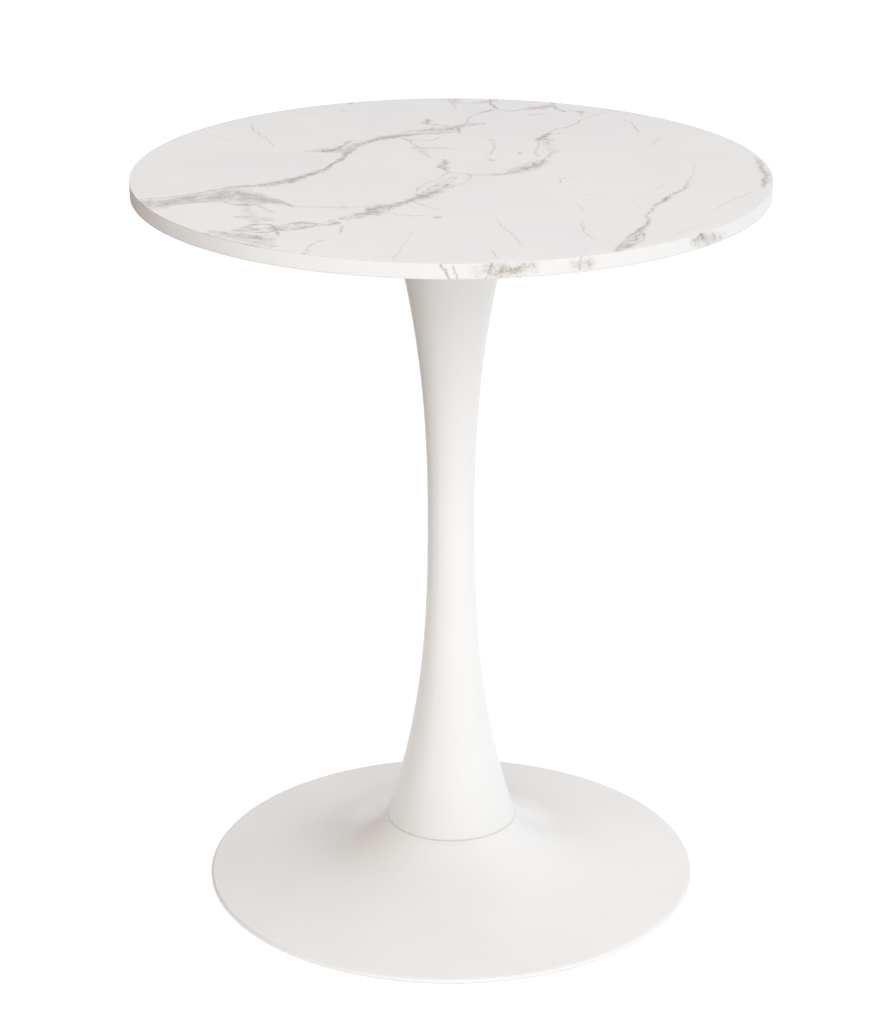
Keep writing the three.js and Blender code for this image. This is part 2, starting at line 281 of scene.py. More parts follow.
def soften(piece: bpy.types.Object, angle: float = math.radians(32)) -> None:
    """Shade a piece smooth, except across sharp edges.

    Args:
        piece: the object to shade.
        angle: how far faces may turn from each other before their edge is sharp.
    """
    mesh = piece.data
    mesh.polygons.foreach_set("use_smooth", [True] * len(mesh.polygons))
    mesh.set_sharp_from_angle(angle=angle)
    mesh.update()


def turned(
    name: str, outline: Sequence[Point], steps: int, axis: Point = (0.0, 0.0)
) -> bpy.types.Object:
    """Turn one closed outline round a vertical axis."""
    return sweep(name, lambda angle: outline, steps, axis)


def hexagon_radius(across: float, angle: float) -> float:
    """Radius of a hexagon at an angle, from its width across flats."""
    sector = (angle + math.pi / 6) % (math.pi / 3) - math.pi / 6
    return across / 2 / math.cos(sector)


def shaped(piece: bpy.types.Object, kind: str, **settings: object) -> None:
    """Apply one modifier to a piece's mesh.

    Args:
        piece: the object to change.
        kind: the modifier's type.
        **settings: the modifier's properties.
    """
    modifier = piece.modifiers.new(kind.lower(), kind)
    for key, value in settings.items():
        setattr(modifier, key, value)
    depsgraph = bpy.context.evaluated_depsgraph_get()
    mesh = bpy.data.meshes.new_from_object(piece.evaluated_get(depsgraph))
    piece.modifiers.remove(modifier)
    old = piece.data
    piece.data = mesh
    bpy.data.meshes.remove(old)


@dataclass(frozen=True)
class Drill:
    """A drill that leaves a small chamfer at both mouths of its holes."""

    radius: float
    chamfer: float
    steps: int = 40
    overcut: float = 1 * MM

    def bore(self, piece: bpy.types.Object, span: Span, node: str) -> None:
        """Drill a level plate through at each of four numbered nodes.

        Args:
            piece: the plate.
            span: where the plate stands.
            node: the nodes' name without its number.
        """
        wide = self.radius + self.chamfer + self.overcut
        outline = [
            (0.0, span.low - self.overcut),
            (wide, span.low - self.overcut),
            (self.radius, span.low + self.chamfer),
            (self.radius, span.high - self.chamfer),
            (wide, span.high + self.overcut),
            (0.0, span.high + self.overcut),
        ]
        for number in FOUR:
            tool = turned("drill", outline, self.steps, Span.of(f"{node}_{number}").axis)
            shaped(piece, "BOOLEAN", object=tool, operation="DIFFERENCE", solver="EXACT")
            mesh = tool.data
            bpy.data.objects.remove(tool)
            bpy.data.meshes.remove(mesh)
        soften(piece)


# ---------------------------------------------------------------- material wiring


class Wires:
    """The nodes of one material or world, added and linked by short calls."""

    def __init__(self, holder: bpy.types.Material | bpy.types.World) -> None:
        """Empty the node tree of a material or world.

        Args:
            holder: the material or world.
        """
        self.holder = holder
        holder.use_nodes = True
        self.tree = holder.node_tree
        self.tree.nodes.clear()

    def node(self, kind: str, inputs: Inputs, **settings: object) -> bpy.types.Node:
        """Add a node.

        Args:
            kind: the node's type without its ShaderNode prefix.
            inputs: a value or a socket for each named or numbered input.
            **settings: the node's properties.

        Returns:
            The new node.
        """
        made = self.tree.nodes.new("ShaderNode" + kind)
        for key, value in settings.items():
            setattr(made, key, value)
        for key, value in inputs.items():
            if isinstance(value, bpy.types.NodeSocket):
                self.tree.links.new(value, made.inputs[key])
            else:
                made.inputs[key].default_value = value
        return made

    def place(self, kind: str = "Object") -> Socket:
        """The shaded point, by default in the model's frame in metres."""
        return self.node("TexCoord", {}).outputs[kind]

    def apart(self, place: Socket) -> Sequence[Socket]:
        """The three coordinates of a place."""
        return self.node("SeparateXYZ", {0: place}).outputs

    def math(self, operation: str, *values: Value, clamp: bool = False) -> Socket:
        """Combine numbers."""
        inputs = dict(enumerate(values))
        return self.node("Math", inputs, operation=operation, use_clamp=clamp).outputs[0]

    def times(self, first: Value, second: Value) -> Socket:
        """Multiply two numbers."""
        return self.math("MULTIPLY", first, second)

    def gap(self, first: Value, second: Value) -> Socket:
        """How far two numbers are from each other."""
        return self.math("ABSOLUTE", self.math("SUBTRACT", first, second))

    def most(self, first: Socket, *others: Socket) -> Socket:
        """Find the greatest of several numbers.

        Args:
            first: one number.
            *others: the other numbers.

        Returns:
            The greatest one.
        """
        for other in others:
            first = self.math("MAXIMUM", first, other)
        return first

    def vector(self, operation: str, *values: Value) -> Socket:
        """Combine vectors; a dot product or a length gives a number."""
        made = self.node("VectorMath", dict(enumerate(values)), operation=operation)
        return made.outputs["Value" if operation in ("DOT_PRODUCT", "LENGTH") else "Vector"]

    def stretched(self, place: Socket, reach: Sequence[float], turn: float = 0.0) -> Socket:
        """Draw a texture out along each axis, with the axes turned about Z."""
        inputs = {"Vector": place, "Rotation": (0.0, 0.0, turn), "Scale": tuple(reach)}
        return self.node("Mapping", inputs, vector_type="TEXTURE").outputs[0]

    def noise(
        self, place: Socket, size: float, detail: float = 2.0, roughness: float = 0.5,
        distortion: float = 0.0, output: str = "Fac",
    ) -> Socket:
        """Add noise from 0 to 1.

        Args:
            place: where it is read.
            size: about how large its patches are, in metres.
            detail: how many finer layers it has.
            roughness: how strong the finer layers are.
            distortion: how far its patches are twisted.
            output: Fac for a number, Color for three.

        Returns:
            That output.
        """
        inputs = {
            "Vector": place, "Scale": 1 / size, "Detail": detail, "Roughness": roughness,
            "Distortion": distortion,
        }
        return self.node("TexNoise", inputs).outputs[output]

    def drift(self, place: Socket, size: float, reach: float, detail: float = 2.0) -> Socket:
        """Move a place about by noise.

        Args:
            place: the place.
            size: about how large the noise's patches are.
            reach: how far the place may move either way.
            detail: how many finer layers the noise has.

        Returns:
            The moved place.
        """
        colour = self.noise(place, size, detail, 0.6, output="Color")
        centred = self.vector("SUBTRACT", colour, (0.5, 0.5, 0.5))
        return self.vector("MULTIPLY_ADD", centred, (2 * reach,) * 3, place)

    def offset(self, value: Socket, noise: Socket, reach: float) -> Socket:
        """Shift a number by noise that is centred on a half, scaled by a reach."""
        return self.math("MULTIPLY_ADD", self.math("SUBTRACT", noise, 0.5), reach, value)

    def cells(self, place: Socket, size: float, feature: str = "F1") -> Socket:
        """Distance within cells of about a size, as a share of it."""
        inputs = {"Vector": place, "Scale": 1 / size}
        return self.node("TexVoronoi", inputs, feature=feature).outputs["Distance"]

    def between(
        self, value: Socket, start: float, end: float, low: float = 0.0, high: float = 1.0
    ) -> Socket:
        """Carry a number from one range to another, eased and held at the ends."""
        inputs = {"Value": value, "From Min": start, "From Max": end, "To Min": low, "To Max": high}
        return self.node("MapRange", inputs, interpolation_type="SMOOTHSTEP").outputs[0]

    def mix(self, share: Value, first: Value, second: Value, blend: str = "MIX") -> Socket:
        """Mix two colours.

        Args:
            share: how much of the second one shows.
            first: the colour underneath.
            second: the colour above.
            blend: how they are blended.

        Returns:
            The mixed colour.
        """
        inputs = {0: share, 6: first, 7: second}
        for key in (6, 7):
            if not isinstance(inputs[key], bpy.types.NodeSocket):
                inputs[key] = (*inputs[key], 1.0)
        return self.node("Mix", inputs, data_type="RGBA", blend_type=blend).outputs[2]

    def curve(self, value: Socket, points: Sequence[Point]) -> Socket:
        """Look a number from 0 to 1 up on a smooth curve.

        Args:
            value: the number.
            points: what the curve goes through.

        Returns:
            The curve's height there.
        """
        made = self.node("FloatCurve", {"Value": value})
        mapping = made.mapping
        mapping.clip_min_y = -1.0
        mapping.extend = "HORIZONTAL"
        line = mapping.curves[0]
        for place, (x, y) in enumerate(points):
            knot = line.points[place] if place < 2 else line.points.new(x, y)
            knot.location = (x, y)
        mapping.update()
        return made.outputs[0]

    def ramp(self, value: Socket, stops: Stops) -> Socket:
        """Look a colour up on an eased ramp.

        Args:
            value: where on the ramp, from 0 to 1.
            stops: position and colour of each stop.

        Returns:
            The colour.
        """
        made = self.node("ValToRGB", {0: value})
        line = made.color_ramp
        line.interpolation = "EASE"
        for place, (position, colour) in enumerate(stops):
            stop = line.elements[place] if place < 2 else line.elements.new(position)
            stop.position = position
            stop.color = (*colour, 1.0)
        return made.outputs[0]

    def bump(self, height: Socket, depth: float, strength: float, **below: Socket) -> Socket:
        """Bump the normal by a height from 0 to 1, over a Normal that may already be bumped."""
        inputs = {"Height": height, "Distance": depth, "Strength": strength, **below}
        return self.node("Bump", inputs).outputs[0]

    def finish(self, inputs: Inputs) -> bpy.types.Material:
        """Close a material with a surface shader that has these inputs."""
        self.node("OutputMaterial", {"Surface": self.node("BsdfPrincipled", inputs).outputs[0]})
        return self.holder


@dataclass(frozen=True)
class Finish:
    """A procedural finish; each kind wires its own surface."""

    name: str

    def material(self) -> bpy.types.Material:
        """Wire the finish as a new material."""
        wires = Wires(bpy.data.materials.new(self.name))
        return wires.finish(self.surface(wires, wires.place()))

    def surface(self, wires: Wires, place: Socket) -> Inputs:
        """Wire what goes into the surface shader.

        Args:
            wires: the material's nodes.
            place: the shaded point, in metres.

        Returns:
            The shader's inputs.
        """
        raise NotImplementedError


# ---------------------------------------------------------------- marble pattern


class Figure(Enum):
    """The ways in which a vein is drawn."""

    SMOKE = "a grey patch with a darker border"
    CRACKLE = "a net of fine cracks in a grey haze"
    THREAD = "one thin line"


@dataclass(frozen=True)
class Vein:
    """One vein of the print.

    The knots give places along it in millimetres, its half width there in millimetres and how
    dark it is there, from 0 to 1. Its place along the line from the first knot to the last
    only ever grows. A thread keeps a halo wider than itself, and the root of its darkness is
    used, so that the same power of the result gives the sharp line for every thread.
    """

    figure: Figure
    knots: tuple[tuple[float, float, float, float], ...]

    MARGIN = 0.02
    REACH = 100 * MM
    THREAD_HALO = 3.0
    THREAD_POWER = 6.0

    def strength(self, wires: Wires, place: Socket) -> Socket:
        """Wire how strongly the vein shows: its darkness on its centre line, 0 from its edge on.

        Args:
            wires: the material's nodes.
            place: the place on the print, in metres.

        Returns:
            A number from 0 to 1.
        """
        thread = self.figure is Figure.THREAD
        halo, power = (self.THREAD_HALO, 1 / self.THREAD_POWER) if thread else (1.0, 1.0)
        start = Vector(self.knots[0][:2]) * MM
        line = Vector(self.knots[-1][:2]) * MM - start
        along = line.normalized()
        across = Vector((-along.y, along.x))
        scale = line.length / (1 - 2 * self.MARGIN)
        origin = start - along * scale * self.MARGIN
        offsets, widths, darks = [], [], [(0.0, 0.0)]
        for x, y, width, dark in self.knots:
            step = Vector((x, y)) * MM - origin
            share = step.dot(along) / scale
            offsets.append((share, step.dot(across) / self.REACH))
            widths.append((share, width * halo * MM / self.REACH))
            darks.append((share, dark**power))
        darks.append((1.0, 0.0))
        from_origin = wires.vector("SUBTRACT", place, (*origin, 0.0))
        share = wires.vector("DOT_PRODUCT", from_origin, (*(along / scale), 0.0))
        aside = wires.vector("DOT_PRODUCT", from_origin, (*(across / self.REACH), 0.0))
        away = wires.gap(aside, wires.curve(share, offsets))
        ratio = wires.math("DIVIDE", away, wires.curve(share, widths))
        inside = wires.math("SUBTRACT", 1.0, ratio, clamp=True)
        return wires.times(inside, wires.curve(share, darks))


SMOKE, CRACKLE, THREAD = Figure

TOP_VEINS = (
    # the wide grey tongue at the left
    Vein(SMOKE, ((-300, -106, 12, 0.9), (-265, -111, 18, 1), (-245, -99, 16, 1), (-222, -88, 20, 1),
        (-200, -82, 28, 1), (-182, -91, 24, 1), (-165, -98, 14, 0.9), (-142, -119, 3, 0.6))),
    Vein(THREAD, ((-296, -100, 2, 0.4), (-250, -85, 2, 0.7), (-225, -70, 2.5, 0.8),
        (-200, -54, 3, 0.9), (-180, -46, 3, 0.7), (-160, -36, 2, 0.5))),
    Vein(THREAD, ((-268, -132, 2, 0.7), (-245, -112, 2, 0.7), (-222, -104, 2.2, 0.7),
        (-205, -106, 2.5, 0.9), (-195, -114, 3, 1), (-180, -115, 3, 1), (-168, -106, 2, 0.6),
        (-142, -119, 2, 0.6))),
    # the branch that leaves it and climbs to the far rim
    Vein(SMOKE, ((-205, -52, 3, 0.7), (-180, -47, 5, 0.8), (-162, -36, 7, 0.8), (-148, -27, 9, 0.9),
        (-138, -16, 7, 0.9), (-125, 0, 3, 0.9))),
    Vein(THREAD, ((-160, -38, 2, 0.4), (-128, -4, 2.5, 0.9), (-119, 13, 3, 1), (-114, 28, 3.5, 1),
        (-106, 44, 3.5, 1), (-102, 56, 3.5, 1), (-99, 74, 3, 0.8), (-91, 92, 3, 0.7),
        (-82, 112, 3, 0.8))),
    Vein(CRACKLE, ((-120, 0, 3, 0.6), (-108, 46, 5, 0.9), (-100, 75, 7, 0.8), (-94, 98, 12, 0.8),
        (-84, 114, 8, 0.9), (-66, 134, 10, 1), (-50, 143, 13, 1), (-34, 149, 9, 0.9),
        (-12, 153, 5, 0.9))),
    Vein(THREAD, ((-124, 82, 8, 1), (-112, 88, 8, 1), (-104, 102, 4, 0.9), (-98, 118, 4, 0.8),
        (-92, 124, 2, 0.5))),
    Vein(SMOKE, ((-142, 82, 4, 0.2), (-132, 84, 6, 0.25), (-112, 84, 11, 0.5), (-98, 84, 5, 0.5))),
    Vein(THREAD, ((-80, 118, 3, 0.7), (-66, 132, 5, 1), (-50, 141, 6, 1), (-38, 146, 4, 0.9),
        (-24, 150, 2, 0.6), (-10, 152, 4, 0.9), (4, 160, 2, 0.5))),
    Vein(CRACKLE, ((-48, 156, 8, 0.5), (-25, 165, 18, 0.6), (0, 172, 16, 0.7), (16, 186, 12, 0.7),
        (34, 192, 5, 0.5))),
    Vein(THREAD, ((6, 150, 2, 0.3), (8, 166, 4, 0.8), (8, 180, 4, 0.7), (17, 195, 2, 0.7),
        (17, 214, 1.8, 0.7), (22, 228, 2, 0.7), (33, 241, 3, 0.8), (46, 252, 2, 0.7))),
    Vein(THREAD, ((46, 250, 2.5, 0.7), (44, 266, 3, 0.9), (40, 281, 3, 0.9), (41, 296, 2, 0.7))),
    Vein(SMOKE, ((5, 281, 3, 0.4), (20, 278, 5, 0.5), (34, 284, 5, 0.6), (48, 293, 4, 0.6))),
    Vein(SMOKE, ((46, 252, 2, 0.4), (60, 244, 4, 0.5), (76, 254, 6, 0.6), (95, 262, 8, 0.9),
        (104, 282, 6, 0.9))),
    Vein(THREAD, ((104, 268, 2.5, 0.9), (108, 252, 3, 0.8), (115, 242, 3, 0.8))),
    Vein(SMOKE, ((112, 242, 4, 0.3), (124, 245, 4, 0.6), (132, 236, 4, 0.6), (131, 226, 3, 0.3))),
    Vein(CRACKLE, ((72, 226, 4, 0.3), (90, 230, 6, 0.4), (108, 230, 6, 0.35), (128, 226, 4, 0.2))),
    Vein(SMOKE, ((2, 298, 8, 0.3), (3, 284, 6, 0.45), (3, 272, 3, 0.4), (5, 250, 2, 0.2))),
    Vein(THREAD, ((-24, 212, 3, 0.5), (-22, 203, 5, 1), (-24, 194, 2, 0.6))),
    Vein(CRACKLE, ((-30, 200, 7, 0.5), (-22, 190, 9, 0.5), (-8, 182, 8, 0.5), (0, 165, 8, 0.4))),
    Vein(CRACKLE, ((-205, -58, 5, 0.5), (-176, -48, 10, 0.7), (-150, -30, 14, 0.8),
        (-134, -10, 10, 0.7), (-122, 8, 7, 0.6))),
    # the loop below it
    Vein(THREAD, ((-48, 134, 2, 0.6), (-41, 125, 2.5, 0.9), (-38, 113, 2, 0.7), (-33, 98, 2, 0.4))),
    Vein(SMOKE, ((-33, 104, 3, 0.2), (-30, 90, 6, 0.3), (-27, 76, 4, 0.35), (-18, 56, 2, 0.4))),
    Vein(SMOKE, ((-36, 93, 3, 0.4), (-24, 93, 5, 0.6), (-10, 92, 4, 0.45), (4, 91, 2, 0.3))),
    Vein(THREAD, ((-40, 128, 1.6, 0.4), (-22, 122, 2, 0.5), (-13, 132, 2, 0.5), (-6, 146, 2, 0.4))),
    Vein(CRACKLE, ((-4, 50, 4, 0.5), (-6, 36, 9, 0.8), (-8, 22, 9, 0.9), (-4, 6, 4, 0.8),
        (0, -2, 2, 0.6))),
    # the second long vein, from the near left to the far right
    Vein(THREAD, ((-4, 0, 1.8, 0.6), (6, -2, 2, 0.8), (15, -5, 2, 0.8), (17, -20, 1.6, 0.5),
        (11, -35, 1.6, 0.4), (1, -50, 2, 0.5))),
    Vein(THREAD, ((-3, 2, 1.6, 0.4), (-12, -22, 1.6, 0.35), (-24, -42, 1.6, 0.35),
        (-32, -68, 2, 0.5))),
    Vein(SMOKE, ((4, -12, 5, 0.1), (-4, -34, 9, 0.15), (-14, -56, 9, 0.2), (-28, -82, 8, 0.2))),
    Vein(CRACKLE, ((2, -44, 7, 0.4), (-9, -62, 12, 0.65), (-22, -78, 14, 0.7), (-33, -92, 12, 0.75),
        (-42, -106, 11, 0.7), (-56, -116, 15, 0.75), (-68, -133, 19, 0.8), (-80, -148, 16, 0.6),
        (-98, -160, 12, 0.4), (-112, -172, 8, 0.3))),
    Vein(SMOKE, ((-28, -88, 5, 0.2), (-44, -108, 6, 0.22), (-62, -128, 9, 0.3), (-80, -148, 7, 0.2),
        (-106, -168, 6, 0.15))),
    Vein(THREAD, ((-12, -64, 3, 0.6), (-26, -84, 5, 1), (-40, -103, 3, 0.9), (-52, -118, 4, 0.9),
        (-58, -138, 3, 0.7))),
    Vein(THREAD, ((-98, -172, 3, 0.5), (-103, -177, 5, 1), (-110, -180, 2, 0.5))),
    Vein(SMOKE, ((-140, -120, 3, 0.2), (-115, -122, 4, 0.25), (-88, -122, 4, 0.25),
        (-64, -118, 4, 0.25))),
    Vein(THREAD, ((-36, -98, 1.5, 0.5), (-26, -115, 1.6, 0.4), (-10, -134, 1.5, 0.3))),
    Vein(THREAD, ((-52, -144, 1.8, 0.3), (-36, -152, 2, 0.5), (-18, -151, 2, 0.4),
        (-12, -157, 5, 0.9), (-8, -146, 2, 0.4))),
    Vein(CRACKLE, ((16, -4, 4, 0.4), (30, -10, 7, 0.5), (46, -8, 6, 0.5), (58, -3, 5, 0.5))),
    Vein(SMOKE, ((56, 0, 3, 0.2), (64, 16, 7, 0.3), (76, 28, 10, 0.4), (85, 42, 6, 0.4),
        (90, 56, 2, 0.3))),
    Vein(CRACKLE, ((40, -8, 10, 0.5), (60, 4, 14, 0.7), (76, 24, 16, 0.8), (88, 46, 10, 0.7))),
    Vein(THREAD, ((62, 8, 1.6, 0.3), (78, 22, 2, 0.5), (85, 36, 3, 0.9), (86, 48, 2.5, 0.9),
        (91, 58, 2, 0.7), (98, 70, 1.6, 0.4), (106, 88, 1.6, 0.3))),
    Vein(CRACKLE, ((92, 62, 4, 0.4), (97, 80, 10, 0.4), (95, 98, 12, 0.4), (92, 118, 8, 0.5),
        (92, 138, 4, 0.6))),
    Vein(THREAD, ((84, 62, 1.6, 0.5), (80, 80, 1.6, 0.4), (83, 98, 1.6, 0.5), (86, 115, 1.6, 0.4),
        (83, 127, 3, 0.9))),
    Vein(THREAD, ((82, 124, 2.5, 0.8), (88, 134, 4, 1), (96, 146, 5, 1), (98, 158, 2.2, 0.7),
        (104, 169, 2.4, 0.7), (115, 177, 2.2, 0.7), (122, 190, 1.8, 0.7), (130, 206, 1.8, 0.6),
        (140, 220, 1.6, 0.55), (152, 232, 1.5, 0.4), (172, 248, 1.4, 0.2))),
    Vein(THREAD, ((96, 146, 2, 0.6), (104, 148, 2.5, 0.6), (107, 154, 1.5, 0.3))),
    Vein(SMOKE, ((84, 126, 3, 0.5), (92, 126, 4, 0.5), (101, 123, 3, 0.3))),
    Vein(THREAD, ((36, 130, 2, 0.2), (42, 110, 2.5, 0.35), (40, 92, 3, 0.4), (39, 66, 1.6, 0.15))),
    Vein(THREAD, ((34, 54, 4, 0.15), (42, 42, 3, 0.2))),
    Vein(THREAD, ((63, 74, 3, 0.35), (68, 71, 3, 0.35))),
    # the two knots near the front left, and the haze below them
    Vein(THREAD, ((-188, -194, 2, 0.5), (-180, -186, 3, 0.95), (-168, -178, 3, 1),
        (-158, -181, 3, 1), (-151, -188, 3, 1), (-138, -176, 3.5, 1), (-126, -174, 3.5, 1),
        (-118, -182, 3, 0.8))),
    Vein(THREAD, ((-186, -190, 2.5, 0.9), (-178, -203, 2, 0.5), (-165, -205, 2.5, 0.7),
        (-153, -200, 3.5, 1), (-138, -198, 3, 0.9), (-126, -190, 3, 0.8), (-118, -181, 2, 0.7))),
    Vein(THREAD, ((-158, -180, 2, 0.8), (-154, -192, 3.5, 1), (-151, -206, 3, 0.9),
        (-150, -222, 2, 0.5))),
    Vein(SMOKE, ((-192, -196, 6, 0.15), (-170, -192, 13, 0.12), (-150, -190, 12, 0.25),
        (-126, -182, 9, 0.2), (-112, -180, 4, 0.2))),
    Vein(CRACKLE, ((-192, -196, 8, 0.35), (-170, -192, 16, 0.35), (-150, -192, 18, 0.55),
        (-126, -184, 14, 0.45), (-100, -176, 8, 0.4))),
    Vein(SMOKE, ((-212, -206, 7, 0.3), (-190, -222, 17, 0.3), (-168, -236, 17, 0.3),
        (-156, -252, 8, 0.2))),
    Vein(CRACKLE, ((-212, -200, 8, 0.5), (-186, -216, 20, 0.7), (-162, -228, 20, 0.6),
        (-150, -250, 8, 0.4))),
    Vein(CRACKLE, ((-184, -104, 8, 0.5), (-182, -132, 12, 0.5), (-176, -160, 10, 0.5),
        (-170, -178, 8, 0.5))),
    Vein(THREAD, ((-176, -112, 2, 0.6), (-167, -128, 3, 0.4), (-158, -142, 3, 0.2))),
    Vein(SMOKE, ((-192, -156, 3, 0.15), (-178, -158, 5, 0.25), (-158, -164, 4, 0.2))),
    # the long vein at the right
    Vein(THREAD, ((228, 46, 1.4, 0.05), (229, 25, 1.6, 0.15), (226, 2, 1.8, 0.3),
        (222, -25, 1.8, 0.4), (218, -46, 2.4, 0.6), (211, -64, 2.6, 0.9), (200, -80, 2.6, 1),
        (193, -100, 3, 1), (186, -112, 2.4, 0.9), (179, -132, 2.2, 0.8), (174, -156, 2, 0.7),
        (170, -186, 3.4, 1), (163, -204, 3.6, 1), (155, -216, 2, 0.7), (149, -238, 2, 0.7),
        (142, -262, 2, 0.6))),
    Vein(THREAD, ((164, -204, 2.4, 0.9), (168, -218, 2.2, 0.8), (162, -236, 2.2, 0.8),
        (153, -248, 5, 1), (151, -258, 3, 0.8))),
    Vein(CRACKLE, ((172, -180, 6, 0.5), (164, -208, 10, 0.7), (158, -226, 13, 0.65),
        (148, -252, 12, 0.65), (140, -266, 8, 0.4))),
    Vein(CRACKLE, ((224, -30, 5, 0.3), (212, -62, 6, 0.45), (192, -102, 6, 0.45),
        (176, -144, 6, 0.45), (172, -176, 6, 0.5))),
    Vein(CRACKLE, ((289, 56, 4, 0.3), (293, 20, 7, 0.6), (293, -20, 7, 0.6), (289, -50, 5, 0.5))),
    # the vein along the right rim
    Vein(THREAD, ((290, 56, 2, 0.3), (294, 36, 2.5, 0.6), (293, 10, 3, 0.7), (292, -14, 2.5, 0.6),
        (289, -34, 3.5, 0.9), (289, -52, 3, 0.5))),
    Vein(THREAD, ((290, -52, 3, 0.3), (282, -60, 2, 0.2), (270, -78, 2, 0.2),
        (252, -104, 1.8, 0.25), (238, -126, 1.6, 0.25), (228, -146, 1.6, 0.15))),
    # hair lines
    Vein(THREAD, ((-200, 192, 1.4, 0.3), (-194, 166, 1.8, 0.6), (-187, 148, 1.6, 0.5),
        (-180, 128, 1.6, 0.35), (-174, 112, 1.6, 0.4), (-165, 90, 1.2, 0.12),
        (-162, 62, 1.2, 0.1))),
    Vein(THREAD, ((-248, 152, 1.4, 0.15), (-228, 136, 1.4, 0.25), (-213, 120, 1.4, 0.15))),
    Vein(THREAD, ((-104, 282, 4, 0.3), (-100, 272, 3, 0.3))),
    Vein(THREAD, ((-114, 252, 1.5, 0.15), (-107, 240, 1.5, 0.15))),
    Vein(THREAD, ((174, 206, 1.4, 0.3), (180, 184, 1.6, 0.55), (185, 152, 1.4, 0.3))),
    Vein(THREAD, ((202, 140, 1.4, 0.1), (199, 122, 1.6, 0.25), (192, 104, 1.3, 0.1))),
    Vein(THREAD, ((99, -36, 2, 0.4), (104, -22, 1.8, 0.35), (116, -12, 1.6, 0.2),
        (134, -7, 1.4, 0.1))),
    Vein(THREAD, ((104, -60, 1.5, 0.15), (120, -76, 1.6, 0.25), (146, -92, 1.4, 0.15),
        (176, -128, 1.4, 0.12))),
    Vein(THREAD, ((200, -36, 1.3, 0.15), (186, -64, 1.4, 0.2), (170, -88, 1.3, 0.12))),
    Vein(THREAD, ((115, -108, 1.4, 0.12), (118, -128, 1.8, 0.25), (115, -144, 1.4, 0.12))),
    Vein(THREAD, ((115, -170, 1.6, 0.3), (117, -196, 1.7, 0.35), (124, -230, 1.4, 0.15))),
    Vein(THREAD, ((40, -158, 1.8, 0.1), (46, -188, 1.7, 0.25), (52, -212, 1.7, 0.4),
        (60, -240, 1.6, 0.3), (67, -258, 1.3, 0.1))),
    Vein(THREAD, ((-112, -230, 2, 0.35), (-122, -250, 1.8, 0.45), (-126, -274, 2.2, 0.5))),
    Vein(THREAD, ((-95, -182, 1.8, 0.25), (-97, -212, 1.6, 0.15))),
    Vein(THREAD, ((-31, -196, 1.5, 0.06), (-40, -240, 1.8, 0.14), (-50, -294, 1.8, 0.16))),
    Vein(THREAD, ((34, -252, 1.6, 0.1), (40, -290, 1.8, 0.12))),
    Vein(THREAD, ((228, -180, 1.6, 0.2), (208, -198, 1.6, 0.2), (190, -222, 1.4, 0.12))),
)

BAND_VEINS = (
    Vein(THREAD, ((-9, 726, 2, 1), (-7, 720, 2.2, 1), (-4, 714, 1.6, 0.8), (-3, 709, 1.2, 0.5))),
    Vein(THREAD, ((1, 722, 1.2, 0.5), (4, 716, 1.4, 0.8), (4, 709, 1.2, 0.6))),
    Vein(CRACKLE, ((22, 716, 6, 0.3), (34, 718, 10, 0.6), (50, 717, 12, 0.7), (62, 720, 9, 0.6),
        (74, 721, 6, 0.4))),
    Vein(THREAD, ((34, 726, 1.6, 0.8), (33, 719, 1.6, 0.9), (30, 709, 1.4, 0.7))),
    Vein(THREAD, ((43, 724, 1.4, 0.7), (45, 716, 1.6, 0.8), (40, 709, 1.4, 0.6))),
    Vein(THREAD, ((68, 727, 1.6, 0.6), (66, 720, 1.8, 0.7), (56, 719, 3, 1), (50, 714, 1.6, 0.7),
        (46, 708, 1.4, 0.5))),
    Vein(SMOKE, ((16, 718, 6, 0.15), (44, 718, 12, 0.3), (76, 721, 8, 0.15))),
    Vein(THREAD, ((114, 727, 1.6, 0.8), (113, 720, 1.6, 0.5), (112, 711, 1.6, 0.3))),
    Vein(CRACKLE, ((102, 716, 8, 0.3), (114, 717, 12, 0.5), (130, 718, 8, 0.3))),
    Vein(THREAD, ((242, 727, 3, 1), (246, 721, 4, 1), (252, 716, 2.4, 0.9), (256, 709, 2, 0.6))),
    Vein(CRACKLE, ((230, 720, 9, 0.4), (250, 718, 12, 0.8), (268, 715, 10, 0.6),
        (284, 714, 8, 0.3))),
    Vein(THREAD, ((430, 728, 1.6, 0.4), (440, 718, 2.4, 0.8), (462, 712, 1.6, 0.4))),
    Vein(CRACKLE, ((560, 722, 4, 0.4), (590, 716, 9, 0.9), (618, 720, 4, 0.4))),
    Vein(THREAD, ((700, 726, 1.6, 0.5), (712, 716, 1.8, 0.6), (716, 708, 1.4, 0.3))),
    Vein(SMOKE, ((-620, 724, 4, 0.4), (-590, 718, 8, 0.7), (-548, 712, 4, 0.4))),
    Vein(THREAD, ((-606, 727, 2, 0.9), (-590, 719, 3, 1), (-566, 709, 2, 0.6))),
    Vein(THREAD, ((-820, 726, 1.4, 0.4), (-812, 716, 1.8, 0.6), (-806, 709, 1.4, 0.3))),
)


@dataclass(frozen=True)
class Strokes:
    """How strongly each figure shows at a place, and the noise that roughens it."""

    smoke: Socket
    crackle: Socket
    thread: Socket
    moved: Socket
    blotch: Socket
    grain: Socket


